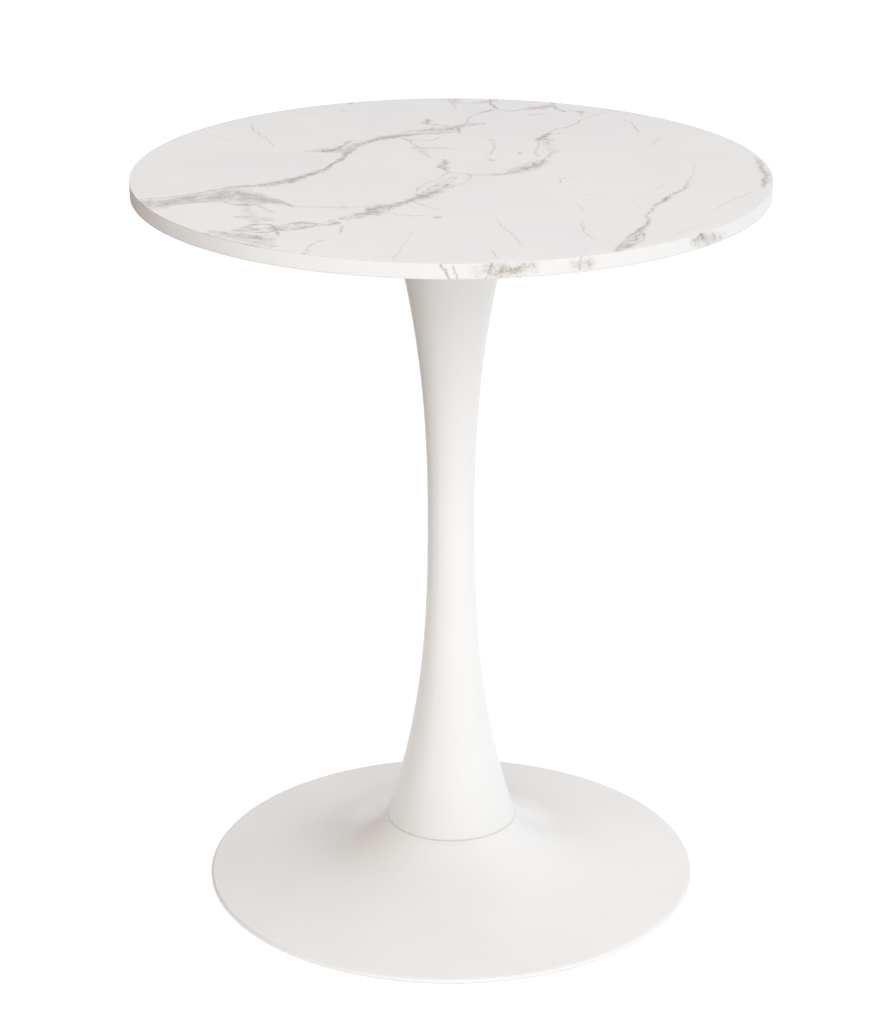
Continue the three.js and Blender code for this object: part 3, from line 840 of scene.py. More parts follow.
@dataclass(frozen=True)
class MarblePrint(Finish):
    """Printed marble on satin laminate: warm white with grey-brown veins."""

    veins: tuple[Vein, ...]
    wrapped: bool = False
    radius: float = 0.3
    low: float = 0.0
    white: Colour = (0.755, 0.75, 0.746)
    cool: Colour = (0.73, 0.723, 0.724)
    haze: Colour = (0.455, 0.41, 0.405)
    dark: Colour = (0.235, 0.19, 0.18)
    core: Colour = (0.50, 0.42, 0.32)
    crinkle: float = 14 * MM
    border: float = 0.6
    cloud_size: float = 160 * MM
    fog_size: float = 45 * MM
    blotch_size: float = 9 * MM
    grain_size: float = 3 * MM
    crack_size: float = 18 * MM
    bend_size: float = 24 * MM
    skin_size: float = 0.9 * MM

    def surface(self, wires: Wires, place: Socket) -> Inputs:
        """Wire the print and the satin skin over it.

        Args:
            wires: the material's nodes.
            place: the shaded point, in metres.

        Returns:
            The shader's inputs.
        """
        flat = self.unrolled(wires, place) if self.wrapped else place
        strokes = self.strokes(wires, flat)
        cloud = wires.between(wires.noise(flat, self.cloud_size, 3, 0.55), 0.35, 0.7)
        ground = wires.mix(cloud, self.white, self.cool)
        fog = wires.noise(strokes.moved, self.fog_size, 4, 0.6)
        ground = wires.mix(wires.between(fog, 0.58, 0.8, 0.0, 0.06), ground, self.haze)
        colour = wires.mix(self.haze_share(wires, strokes), ground, self.haze)
        colour = wires.mix(self.line_share(wires, strokes), colour, self.dark)
        colour = wires.mix(self.worn(wires, place, strokes.grain), colour, self.core)
        return {
            "Base Color": colour,
            "Roughness": wires.between(wires.noise(place, 30 * MM, 3), 0.3, 0.7, 0.34, 0.42),
            "IOR": 1.46,
            "Normal": wires.bump(wires.noise(place, self.skin_size, 2), 0.004 * MM, 0.5),
        }

    def unrolled(self, wires: Wires, place: Socket) -> Socket:
        """Lay the band out flat.

        Args:
            wires: the material's nodes.
            place: a place on the band.

        Returns:
            Its distance along the band from the front, and its height.
        """
        x, y, z = wires.apart(place)
        angle = wires.math("ARCTAN2", x, wires.times(y, -1.0))
        return wires.node("CombineXYZ", {0: wires.times(angle, self.radius), 1: z}).outputs[0]

    def strokes(self, wires: Wires, flat: Socket) -> Strokes:
        """Wire the veins and the noise that goes with them.

        Args:
            wires: the material's nodes.
            flat: the place on the print.

        Returns:
            What the haze and the lines are drawn from.
        """
        fine = wires.drift(flat, self.crinkle, 0.25 * self.crinkle)
        moved = wires.drift(fine, 30 * MM, 4 * MM)
        figures = (
            wires.most(*(vein.strength(wires, moved) for vein in self.veins if vein.figure is figure))
            for figure in Figure
        )
        blotch = wires.noise(flat, self.blotch_size, 4, 0.7)
        return Strokes(*figures, moved, blotch, wires.noise(flat, self.grain_size, 4, 0.7))

    def haze_share(self, wires: Wires, made: Strokes) -> Socket:
        """Wire how much grey haze covers the white.

        Args:
            wires: the material's nodes.
            made: the veins and their noise.

        Returns:
            A share from 0 to 1.
        """
        ragged = wires.between(wires.offset(made.smoke, made.grain, 0.3), 0.02, 0.14)
        body = wires.times(ragged, wires.between(made.smoke, 0.0, 0.6, 0.12, 0.85))
        mottled = wires.times(body, wires.between(made.blotch, 0.3, 0.66, 0.3, 1.0))
        cloudy = wires.between(wires.offset(made.crackle, made.blotch, 0.9), 0.1, 0.9)
        net = wires.times(cloudy, wires.between(made.grain, 0.3, 0.7, 0.4, 0.8))
        speckled = wires.between(wires.offset(made.blotch, made.grain, 0.6), 0.36, 0.62)
        soft = wires.times(wires.between(made.thread, 0.5, 1.0, 0.0, 0.5), speckled)
        return wires.most(mottled, net, soft)

    def line_share(self, wires: Wires, made: Strokes) -> Socket:
        """Wire how much of the dark line colour shows: cracks, hairs, threads, rims and shade.

        Args:
            wires: the material's nodes.
            made: the veins and their noise.

        Returns:
            A share from 0 to 1.
        """
        crinkled = wires.drift(made.moved, self.bend_size, 12 * MM)
        cells = wires.cells(crinkled, self.crack_size, "DISTANCE_TO_EDGE")
        cracked = wires.between(wires.offset(made.crackle, made.blotch, 0.8), 0.12, 0.75, 0.0, 0.6)
        cracks = wires.times(wires.between(cells, 0.0, 0.07, 1.0, 0.0), cracked)
        contour = wires.gap(wires.noise(made.moved, self.bend_size, 3), 0.5)
        near = wires.most(wires.between(made.thread, 0.4, 0.85), made.crackle, made.smoke)
        hairs = wires.times(
            wires.between(contour, 0.0, 0.014, 1.0, 0.0), wires.between(near, 0.1, 0.8, 0.0, 0.42)
        )
        line = wires.math("POWER", made.thread, 1.25 * Vein.THREAD_POWER)
        patchy = wires.between(wires.offset(made.grain, made.blotch, 0.9), 0.3, 0.66, 0.35, 0.85)
        away = wires.gap(wires.offset(made.smoke, made.grain, 0.15), 0.09)
        broken = wires.between(made.blotch, 0.42, 0.62, 0.0, self.border)
        rim = wires.times(wires.between(away, 0.0, 0.07, 1.0, 0.0), broken)
        speckled = wires.between(wires.offset(made.blotch, made.grain, 0.6), 0.42, 0.7)
        shade = wires.times(wires.between(made.smoke, 0.25, 1.0, 0.0, 0.28), speckled)
        return wires.most(cracks, wires.times(line, patchy), rim, shade, hairs)

    def worn(self, wires: Wires, place: Socket, grain: Socket) -> Socket:
        """Wire how much darker colour shows: the sheet's core at the top's trimmed edge, a strip low
        on the band.

        Args:
            wires: the material's nodes.
            place: the shaded point.
            grain: the print's fine noise.

        Returns:
            A share from 0 to 1.
        """
        if self.wrapped:
            # On the band: a mottled darker strip towards its lower edge, strongest below 1.2 mm and
            # gone above 2.2 mm.
            height = wires.apart(place)[2]
            lower = wires.between(height, self.low + 1.2 * MM, self.low + 2.2 * MM, 0.3, 0.0)
            return wires.times(lower, wires.between(grain, 0.2, 0.7, 0.5, 1.0))
        reach = wires.vector("LENGTH", wires.vector("MULTIPLY", place, (1.0, 1.0, 0.0)))
        edge = wires.between(reach, self.radius - 0.5 * MM, self.radius - 0.1 * MM)
        return wires.times(edge, wires.between(grain, 0.3, 0.8, 0.05, 0.5))


# ---------------------------------------------------------------- plain finishes


@dataclass(frozen=True)
class PowderCoat(Finish):
    """Baked powder paint: a satin skin with fine orange peel, dust nibs and handling scuffs."""

    colour: Colour
    worn: Colour
    roughness: float
    scuffs: float = 0.05
    peel: float = 4 * MM
    peel_depth: float = 0.003 * MM
    nib_spacing: float = 9 * MM
    nib_depth: float = 0.02 * MM
    scratch: float = 1.6 * MM

    def surface(self, wires: Wires, place: Socket) -> Inputs:
        """Wire tone, scuffs, nibs and peel.

        Args:
            wires: the material's nodes.
            place: the shaded point, in metres.

        Returns:
            The shader's inputs.
        """
        tone = wires.between(wires.noise(place, 90 * MM, 3), 0.3, 0.7, 0.0, 0.35)
        colour = wires.mix(tone, self.colour, self.worn)
        combed = wires.stretched(wires.drift(place, 60 * MM, 8 * MM), (12.0, 1.0, 2.0), 0.6)
        streaks = wires.between(wires.noise(combed, self.scratch, 2, 0.6), 0.66, 0.78)
        patches = wires.between(wires.noise(place, 38 * MM, 2), 0.55, 0.72)
        marks = wires.times(wires.times(streaks, patches), self.scuffs)
        specks = wires.between(wires.cells(place, self.nib_spacing), 0.0, 0.035, 1.0, 0.0)
        nibs = wires.times(specks, wires.between(wires.noise(place, 24 * MM, 1), 0.58, 0.66))
        peel = wires.bump(wires.noise(place, self.peel, 2, 0.45), self.peel_depth, 0.8)
        return {
            "Base Color": wires.mix(marks, colour, self.worn, "MULTIPLY"),
            "Roughness": wires.math("MULTIPLY_ADD", marks, 0.8, self.roughness),
            "IOR": 1.5,
            "Coat Weight": 0.06,
            "Coat Roughness": 0.12,
            "Normal": wires.bump(nibs, self.nib_depth, 0.5, Normal=peel),
        }


@dataclass(frozen=True)
class PlatedMetal(Finish):
    """Bare or plated metal: brushed grain, cloudy passivation and darker pits."""

    colour: Colour
    tint: Colour
    roughness: float
    pit_colour: Colour = (0.08, 0.075, 0.07)
    pit_spacing: float = 1.3 * MM
    cloud: float = 6 * MM
    grain: float = 0.35 * MM
    grain_depth: float = 0.01 * MM

    def surface(self, wires: Wires, place: Socket) -> Inputs:
        """Wire clouds, pits and brushing.

        Args:
            wires: the material's nodes.
            place: the shaded point, in metres.

        Returns:
            The shader's inputs.
        """
        cloud = wires.between(wires.noise(place, self.cloud, 4, 0.6, 0.4), 0.35, 0.7)
        colour = wires.mix(cloud, self.colour, self.tint)
        pits = wires.between(wires.cells(place, self.pit_spacing), 0.0, 0.18, 1.0, 0.0)
        brushed = wires.noise(wires.stretched(place, (6.0, 6.0, 1.0)), self.grain, 3, 0.6)
        smooth, rough = self.roughness - 0.07, self.roughness + 0.1
        return {
            "Base Color": wires.mix(wires.times(pits, 0.35), colour, self.pit_colour),
            "Metallic": 1.0,
            "Roughness": wires.between(brushed, 0.25, 0.75, smooth, rough),
            "Normal": wires.bump(brushed, self.grain_depth, 0.6),
        }


@dataclass(frozen=True)
class SandCasting(Finish):
    """Grey iron as cast: pebbled by the sand, dipped in thin black primer, rust in the hollows."""

    primer: Colour = (0.035, 0.035, 0.037)
    iron: Colour = (0.11, 0.105, 0.10)
    rust: Colour = (0.17, 0.075, 0.035)
    sand: float = 1.1 * MM
    sand_depth: float = 0.16 * MM
    lumps: float = 9 * MM
    lump_depth: float = 0.5 * MM

    def surface(self, wires: Wires, place: Socket) -> Inputs:
        """Wire sand, primer and rust.

        Args:
            wires: the material's nodes.
            place: the shaded point, in metres.

        Returns:
            The shader's inputs.
        """
        sand = wires.noise(place, self.sand, 5, 0.65)
        thin = wires.between(wires.noise(place, 14 * MM, 4, 0.6), 0.48, 0.66)
        bare = wires.times(thin, wires.between(sand, 0.45, 0.6))
        damp = wires.between(wires.noise(place, 26 * MM, 5, 0.7), 0.6, 0.72, 0.0, 0.7)
        rusty = wires.times(damp, wires.between(sand, 0.55, 0.4))
        lumps = wires.bump(wires.noise(place, self.lumps, 3), self.lump_depth, 0.5)
        return {
            "Base Color": wires.mix(rusty, wires.mix(bare, self.primer, self.iron), self.rust),
            "Metallic": 0.25,
            "Roughness": wires.between(sand, 0.3, 0.7, 0.5, 0.85),
            "Normal": wires.bump(sand, self.sand_depth, 0.9, Normal=lumps),
        }


@dataclass(frozen=True)
class Fibreboard(Finish):
    """Raw fibreboard: felted short fibres, darker flecks and a chalky surface."""

    light: Colour = (0.42, 0.30, 0.185)
    dark: Colour = (0.25, 0.165, 0.09)
    fibre: float = 1.4 * MM
    fibre_depth: float = 0.08 * MM
    fleck_spacing: float = 3 * MM

    def surface(self, wires: Wires, place: Socket) -> Inputs:
        """Wire felt and flecks.

        Args:
            wires: the material's nodes.
            place: the shaded point, in metres.

        Returns:
            The shader's inputs.
        """
        felt = wires.noise(wires.stretched(place, (1.0, 3.0, 0.5)), self.fibre, 5, 0.7, 0.6)
        colour = wires.mix(wires.between(felt, 0.3, 0.7), self.dark, self.light)
        flecks = wires.between(wires.cells(place, self.fleck_spacing), 0.0, 0.12, 0.7, 0.0)
        return {
            "Base Color": wires.mix(flecks, colour, self.dark),
            "Roughness": 0.92,
            "Normal": wires.bump(felt, self.fibre_depth, 0.7),
        }


@dataclass(frozen=True)
class MouldedPlastic(Finish):
    """Plain moulded or extruded plastic: fine mould texture and a faint flow mottle."""

    colour: Colour
    shade: Colour
    roughness: float
    texture: float = 0.5 * MM
    texture_depth: float = 0.02 * MM
    dust_colour: Colour = (0.62, 0.60, 0.56)

    def surface(self, wires: Wires, place: Socket) -> Inputs:
        """Wire flow, dust and mould texture.

        Args:
            wires: the material's nodes.
            place: the shaded point, in metres.

        Returns:
            The shader's inputs.
        """
        flow = wires.noise(wires.drift(place, 40 * MM, 20 * MM), 18 * MM, 3)
        colour = wires.mix(wires.between(flow, 0.3, 0.72), self.colour, self.shade)
        dust = wires.between(wires.noise(place, 3 * MM, 4, 0.7), 0.6, 0.8, 0.0, 0.25)
        skin = wires.noise(place, self.texture, 3, 0.55)
        smooth, rough = self.roughness - 0.06, self.roughness + 0.06
        return {
            "Base Color": wires.mix(dust, colour, self.dust_colour),
            "Roughness": wires.between(skin, 0.25, 0.75, smooth, rough),
            "Normal": wires.bump(skin, self.texture_depth, 0.7),
        }


class Finishes:
    """Every finish of the table, made once and given out by material slot."""

    def __init__(self) -> None:
        """Make the materials."""
        band = Span.of("edge_band")
        kinds: dict[Slot, Finish] = {
            Slot.LAMINATE: MarblePrint("marble_laminate", TOP_VEINS, radius=band.radius),
            Slot.BAND: MarblePrint(
                "marble_band", BAND_VEINS, wrapped=True, radius=band.radius, low=band.low,
                white=(0.79, 0.785, 0.775), cool=(0.77, 0.765, 0.757), haze=(0.47, 0.42, 0.38),
                # core here is the grey that darkens the band towards its lower edge
                dark=(0.25, 0.18, 0.13), core=(0.62, 0.60, 0.57), crinkle=6 * MM, border=0.2,
            ),
            Slot.FIBREBOARD: Fibreboard("raw_fibreboard"),
            Slot.BACKING: MouldedPlastic(
                "kraft_backing", (0.20, 0.135, 0.085), (0.165, 0.11, 0.07), 0.55
            ),
            Slot.WHITE_PAINT: PowderCoat(
                "white_powder_coat", (0.88, 0.879, 0.869), (0.83, 0.822, 0.80), 0.31
            ),
            Slot.GREY_PAINT: PowderCoat(
                "grey_powder_coat", (0.07, 0.073, 0.078), (0.12, 0.12, 0.12), 0.42, scuffs=0.4
            ),
            Slot.ZINC: PlatedMetal("bright_zinc", (0.60, 0.61, 0.63), (0.50, 0.50, 0.47), 0.3),
            Slot.BRASS: PlatedMetal("machined_brass", (0.66, 0.50, 0.22), (0.50, 0.36, 0.15), 0.28),
            Slot.IRON: SandCasting("sand_cast_iron"),
            Slot.NYLON: MouldedPlastic("ivory_nylon", (0.93, 0.88, 0.78), (0.88, 0.82, 0.71), 0.5),
            Slot.TRIM: MouldedPlastic(
                "pale_trim_rubber", (0.74, 0.73, 0.71), (0.68, 0.67, 0.645), 0.7, 0.8 * MM, 0.03 * MM
            ),
        }
        self.by_slot = {slot: finish.material() for slot, finish in kinds.items()}

    def dress(self, piece: bpy.types.Object, slot: Slot) -> None:
        """Give a piece its finish, in every material slot that it has.

        Args:
            piece: the piece.
            slot: the finish that it takes.
        """
        materials = piece.data.materials
        if not materials:
            materials.append(self.by_slot[slot])
        for place in range(len(materials)):
            materials[place] = self.by_slot[slot]


# ---------------------------------------------------------------- sub-assemblies


@dataclass
class SubAssembly:
    """A group of pieces that are built and dressed together."""

    finishes: Finishes

    def fit(self, piece: bpy.types.Object, node: str, slot: Slot) -> None:
        """Put a built piece in the place of a node.

        Args:
            piece: the piece, already where it belongs.
            node: the node that it stands for.
            slot: the finish that it takes.
        """
        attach(piece, "root")
        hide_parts(node)
        self.finishes.dress(piece, slot)
        log.info("%s: %d faces for %s, %s", piece.name, len(piece.data.polygons), node, slot.value)

    def keep(self, node: str, slot: Slot) -> None:
        """Show a node as it is, with a better finish.

        Args:
            node: the node's name.
            slot: the finish that it takes.
        """
        self.finishes.dress(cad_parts[node], slot)
        log.info("%s: kept, %s", node, slot.value)

    def fit_nut(self, name: str, node: str, thread: Thread, across: float = 19 * MM) -> None:
        """Build a hexagon nut, chamfered at both faces and threaded.

        Args:
            name: the new piece's name.
            node: the node that it stands for.
            thread: the thread of the rod that it takes.
            across: its width across flats.
        """
        span = Span.of(node)
        mouth = thread.crest + 0.4 * MM
        wide_thread = replace(thread, crest=thread.crest + THREAD_PLAY)
        levels = wide_thread.levels(span.low + 0.6 * MM, span.high - 0.6 * MM)[::-1]
        face = across / 2 * 0.96
        slope = 0.55

        def section(angle: float) -> list[Point]:
            """Chamfered flat outside and the thread inside.

            Args:
                angle: the angle round the axis.

            Returns:
                The outline there.
            """
            flat = hexagon_radius(across, angle + math.pi / 6)
            depth = (flat - face) * slope if flat > face else 0.0
            rise = spread(0.0, 1.0, 6)
            lower = [
                (face + (flat - face) * share, span.low + depth * share**1.5) for share in rise
            ]
            upper = [(r, span.high + span.low - z) for r, z in reversed(lower)]
            bore = wide_thread.points(levels, angle)
            return [*lower, *upper, (mouth, span.high), *bore, (mouth, span.low)]

        self.fit(sweep(name, section, 96, span.axis), node, Slot.ZINC)

    def fit_washer(self, name: str, node: str, bore: float, steps: int) -> None:
        """Build a stamped washer: rolled over on its upper edge, sharper on its lower one.

        Args:
            name: the new piece's name.
            node: the node that it stands for.
            bore: its hole's radius.
            steps: pieces round it.
        """
        span = Span.of(node)
        soft, crisp = 0.35 * span.height, 0.1 * span.height
        outline = rounded(ring_corners(bore, span, (crisp, crisp, soft, soft)), 4)
        self.fit(turned(name, outline, steps, span.axis), node, Slot.ZINC)

    def fit_ring(self, name: str, node: str, slot: Slot, steps: int, ease: float) -> None:
        """Turn a ring finely from the outline of its coarse node, with its corners eased.

        Args:
            name: the new piece's name.
            node: the node that it stands for.
            slot: the finish that it takes.
            steps: pieces round it.
            ease: how far its corners are rounded.
        """
        corners = [Corner(r, z, ease) for r, z in node_outline(node)]
        self.fit(turned(name, rounded(corners, 3), steps, Span.of(node).axis), node, slot)


def node_outline(node: str) -> list[Point]:
    """Read the outline of a turned node where it crosses the +X half plane.

    Args:
        node: the node's name.

    Returns:
        Its corners, anticlockwise in radius and height.
    """
    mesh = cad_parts[node].data
    tolerance = 0.002 * MM
    grid = 5 * tolerance
    seen: dict[tuple[int, int], Point] = {}
    links: dict[tuple[int, int], set[tuple[int, int]]] = {}
    for edge in mesh.edges:
        ends = [mesh.vertices[number].co for number in edge.vertices]
        if all(abs(end.y) < tolerance and end.x > 0 for end in ends):
            keys = [(round(end.x / grid), round(end.z / grid)) for end in ends]
            for key, other, end in zip(keys, keys[::-1], ends):
                seen[key] = (end.x, end.z)
                if key != other:
                    links.setdefault(key, set()).add(other)
    path = [min(seen)]
    while following := [key for key in sorted(links[path[-1]]) if key not in path]:
        path.append(following[0])
    outline = [seen[key] for key in path]
    area = sum(a[0] * b[1] - b[0] * a[1] for a, b in zip(outline, outline[1:] + outline[:1]))
    return outline if area > 0 else outline[::-1]


@dataclass
class Board(SubAssembly):
    """The round top: core, backing sheet, edge band and printed laminate."""

    steps: int = 256
    upper_arris: float = 0.6 * MM
    lower_arris: float = 1.6 * MM
    glue_line: float = 0.06 * MM
    band: float = 2 * MM
    flat_share: float = 0.98
    insert_play: float = 0.3 * MM
    insert_steps: int = 24
    barb_depth: float = 0.6 * MM
    barb_edge: float = 0.01 * MM
    barbs: int = 3

    def build(self) -> None:
        """Build and dress every piece of the top."""
        self.laminate()
        self.edge_band()
        self.backing()
        self.keep("top_core", Slot.FIBREBOARD)
        for number in FOUR:
            self.insert(number)

    def laminate(self) -> None:
        """The printed sheet, trimmed flush with the band and eased along its edge."""
        span = Span.of("top_laminate")
        corners = ring_corners(0.0, span, (0.0, self.glue_line, self.upper_arris, 0.0))
        corners.insert(3, Corner(span.radius * self.flat_share, span.high))
        piece = turned("printed_top", rounded(corners), self.steps)
        self.fit(piece, "top_laminate", Slot.LAMINATE)

    def edge_band(self) -> None:
        """The band round the core, with its lower edge eased."""
        span = Span.of("edge_band")
        eases = (self.glue_line, self.lower_arris, self.glue_line, 0.0)
        outline = rounded(ring_corners(span.radius - self.band, span, eases))
        self.fit(turned("printed_edge_band", outline, self.steps), "edge_band", Slot.BAND)

    def backing(self) -> None:
        """The balancing sheet, drilled for the inserts."""
        span = Span.of("top_backing")
        outline = rounded(ring_corners(0.0, span, (0.0, self.glue_line, 0.0, 0.0)))
        piece = turned("balancing_sheet", outline, self.steps)
        drill = Drill(Span.of("threaded_insert_1").radius + self.insert_play, 0.05 * MM)
        drill.bore(piece, span, "threaded_insert")
        self.fit(piece, "top_backing", Slot.BACKING)

    def insert(self, number: int) -> None:
        """A barbed sleeve with a thread inside.

        Args:
            number: which of the four.
        """
        span = Span.of(f"threaded_insert_{number}")
        rise = span.height / self.barbs
        outside = []
        for barb in range(self.barbs):
            foot = span.low + barb * rise
            outside.append((span.radius, foot))
            outside.append((span.radius - self.barb_depth, foot + rise - self.barb_edge))
        thread = replace(SCREW_THREAD, crest=SCREW_THREAD.crest + THREAD_PLAY)
        levels = thread.levels(span.low, span.high)[::-1]
        piece = sweep(
            f"barbed_insert_{number}", lambda angle: outside + thread.points(levels, angle),
            self.insert_steps, Span.of(f"plate_screw_{number}").axis,
        )
        self.fit(piece, f"threaded_insert_{number}", Slot.BRASS)


@dataclass
class HeadFittings(SubAssembly):
    """What joins the column to the board."""

    socket_across: float = 4 * MM
    socket_depth: float = 2 * MM
    socket_rim: float = 0.35 * MM
    screw_steps: int = 36
    plate_bore: float = 6.5 * MM
    plate_steps: int = 144
    screw_hole: float = 3.5 * MM
    washer_bore: float = 3.3 * MM

    def build(self) -> None:
        """Build and dress every fitting under the board."""
        self.plate()
        self.fit_nut("plate_hex_nut", "plate_nut", ROD_THREAD)
        self.fit_ring("head_centring_ring", "head_ring", Slot.NYLON, 96, 0.35 * MM)
        for number in FOUR:
            self.screw(number)
            self.fit_washer(f"plain_washer_{number}", f"screw_washer_{number}", self.washer_bore, 48)

    def plate(self) -> None:
        """The round mounting plate, with its edges eased and its holes chamfered."""
        span = Span.of("mounting_plate")
        eases = (0.3 * MM, 0.8 * MM, 0.5 * MM, 0.3 * MM)
        outline = rounded(ring_corners(self.plate_bore, span, eases))
        piece = turned("round_mounting_plate", outline, self.plate_steps)
        Drill(self.screw_hole, 0.3 * MM).bore(piece, span, "screw_washer")
        self.fit(piece, "mounting_plate", Slot.GREY_PAINT)

    def screw(self, number: int) -> None:
        """A button-headed screw with a hexagon socket, its head down.

        Args:
            number: which of the four.
        """
        span = Span.of(f"plate_screw_{number}")
        head_top = Span.of(f"screw_washer_{number}").low
        shank = SCREW_THREAD.crest
        levels = SCREW_THREAD.levels(head_top, span.high - 0.8 * MM)
        floor = span.low + self.socket_depth
        crown = [share * math.pi / 2 for share in spread(0.0, 1.0, 7)]
        rise = 0.75 * (head_top - span.low)

        def section(angle: float) -> list[Point]:
            """Socket, domed head, thread and end.

            Args:
                angle: the angle round the axis.

            Returns:
                The outline there.
            """
            socket = hexagon_radius(self.socket_across, angle)
            inner = socket + self.socket_rim
            reach = span.radius - inner
            dome = [
                (inner + reach * math.sin(turn), span.low + rise * (1 - math.cos(turn)))
                for turn in crown
            ]
            return [
                (0.0, floor),
                (socket * 0.98, floor),
                (socket, span.low + 0.3 * MM),
                *dome,
                (span.radius, head_top - 0.1 * MM),
                (span.radius - 0.1 * MM, head_top),
                (shank, head_top),
                *SCREW_THREAD.points(levels, angle),
                (shank - 0.9 * MM, span.high),
                (0.0, span.high),
            ]

        piece = sweep(f"button_screw_{number}", section, self.screw_steps, span.axis)
        self.fit(piece, f"plate_screw_{number}", Slot.ZINC)


@dataclass
class Column(SubAssembly):
    """The spun shell, and the rod that clamps it."""

    waist_level: float = 385 * MM
    waist_radius: float = 23 * MM
    foot_radius: float = 64.5 * MM
    head_flare: float = 2.25
    foot_flare: float = 2.6
    wall: float = 2 * MM
    lip: float = 0.45 * MM
    steps: int = 144
    rows: int = 80
    rod_steps: int = 48
    rod_chamfer: float = 1 * MM
    threaded_length: float = 42 * MM

    def build(self) -> None:
        """Build and dress the column."""
        self.shell()
        self.rod()

    def radius(self, level: float, span: Span) -> float:
        """Outer radius at a level.

        Args:
            level: the level.
            span: where the shell stands.

        Returns:
            The radius.
        """
        reach, end, flare = self.waist_level - span.low, self.foot_radius, self.foot_flare
        if level > self.waist_level:
            reach, end, flare = span.high - self.waist_level, span.radius, self.head_flare
        share = abs(level - self.waist_level) / reach
        return self.waist_radius + (end - self.waist_radius) * share**flare

    def shell(self) -> None:
        """Spin the shell: two smooth flares, an even wall and eased ends."""
        span = Span.of("column_shell")
        step = 0.01 * MM
        outside, inside = [], []
        for level in spread(span.low + self.lip, span.high - self.lip, self.rows):
            r = self.radius(level, span)
            slope = (self.radius(level + step, span) - r) / step
            outside.append((r, level))
            inside.append((r - self.wall * math.hypot(1, slope), level))
        ease = self.lip * 0.6
        foot = [(inside[0][0] + self.lip, span.low), (outside[0][0] - ease, span.low)]
        head = [(outside[-1][0] - ease, span.high), (inside[-1][0] + self.lip, span.high)]
        outline = [*foot, *outside, *head, *reversed(inside)]
        self.fit(turned("spun_column", outline, self.steps), "column_shell", Slot.WHITE_PAINT)

    def rod(self) -> None:
        """A plain rod with a rolled thread at both ends."""
        span = Span.of("clamp_rod")
        lower = ROD_THREAD.levels(span.low + self.rod_chamfer, span.low + self.threaded_length)
        upper = ROD_THREAD.levels(span.high - self.threaded_length, span.high - self.rod_chamfer)
        plain = ROD_THREAD.crest - ROD_THREAD.depth / 2
        end = ROD_THREAD.crest - self.rod_chamfer

        def section(angle: float) -> list[Point]:
            """Thread, plain shank and thread.

            Args:
                angle: the angle round the axis.

            Returns:
                The outline there.
            """
            return [
                (0.0, span.low),
                (end, span.low),
                *ROD_THREAD.points(lower, angle),
                (plain, lower[-1] + self.rod_chamfer),
                (plain, upper[0] - self.rod_chamfer),
                *ROD_THREAD.points(upper, angle),
                (end, span.high),
                (0.0, span.high),
            ]

        self.fit(sweep("threaded_rod", section, self.rod_steps), "clamp_rod", Slot.ZINC)


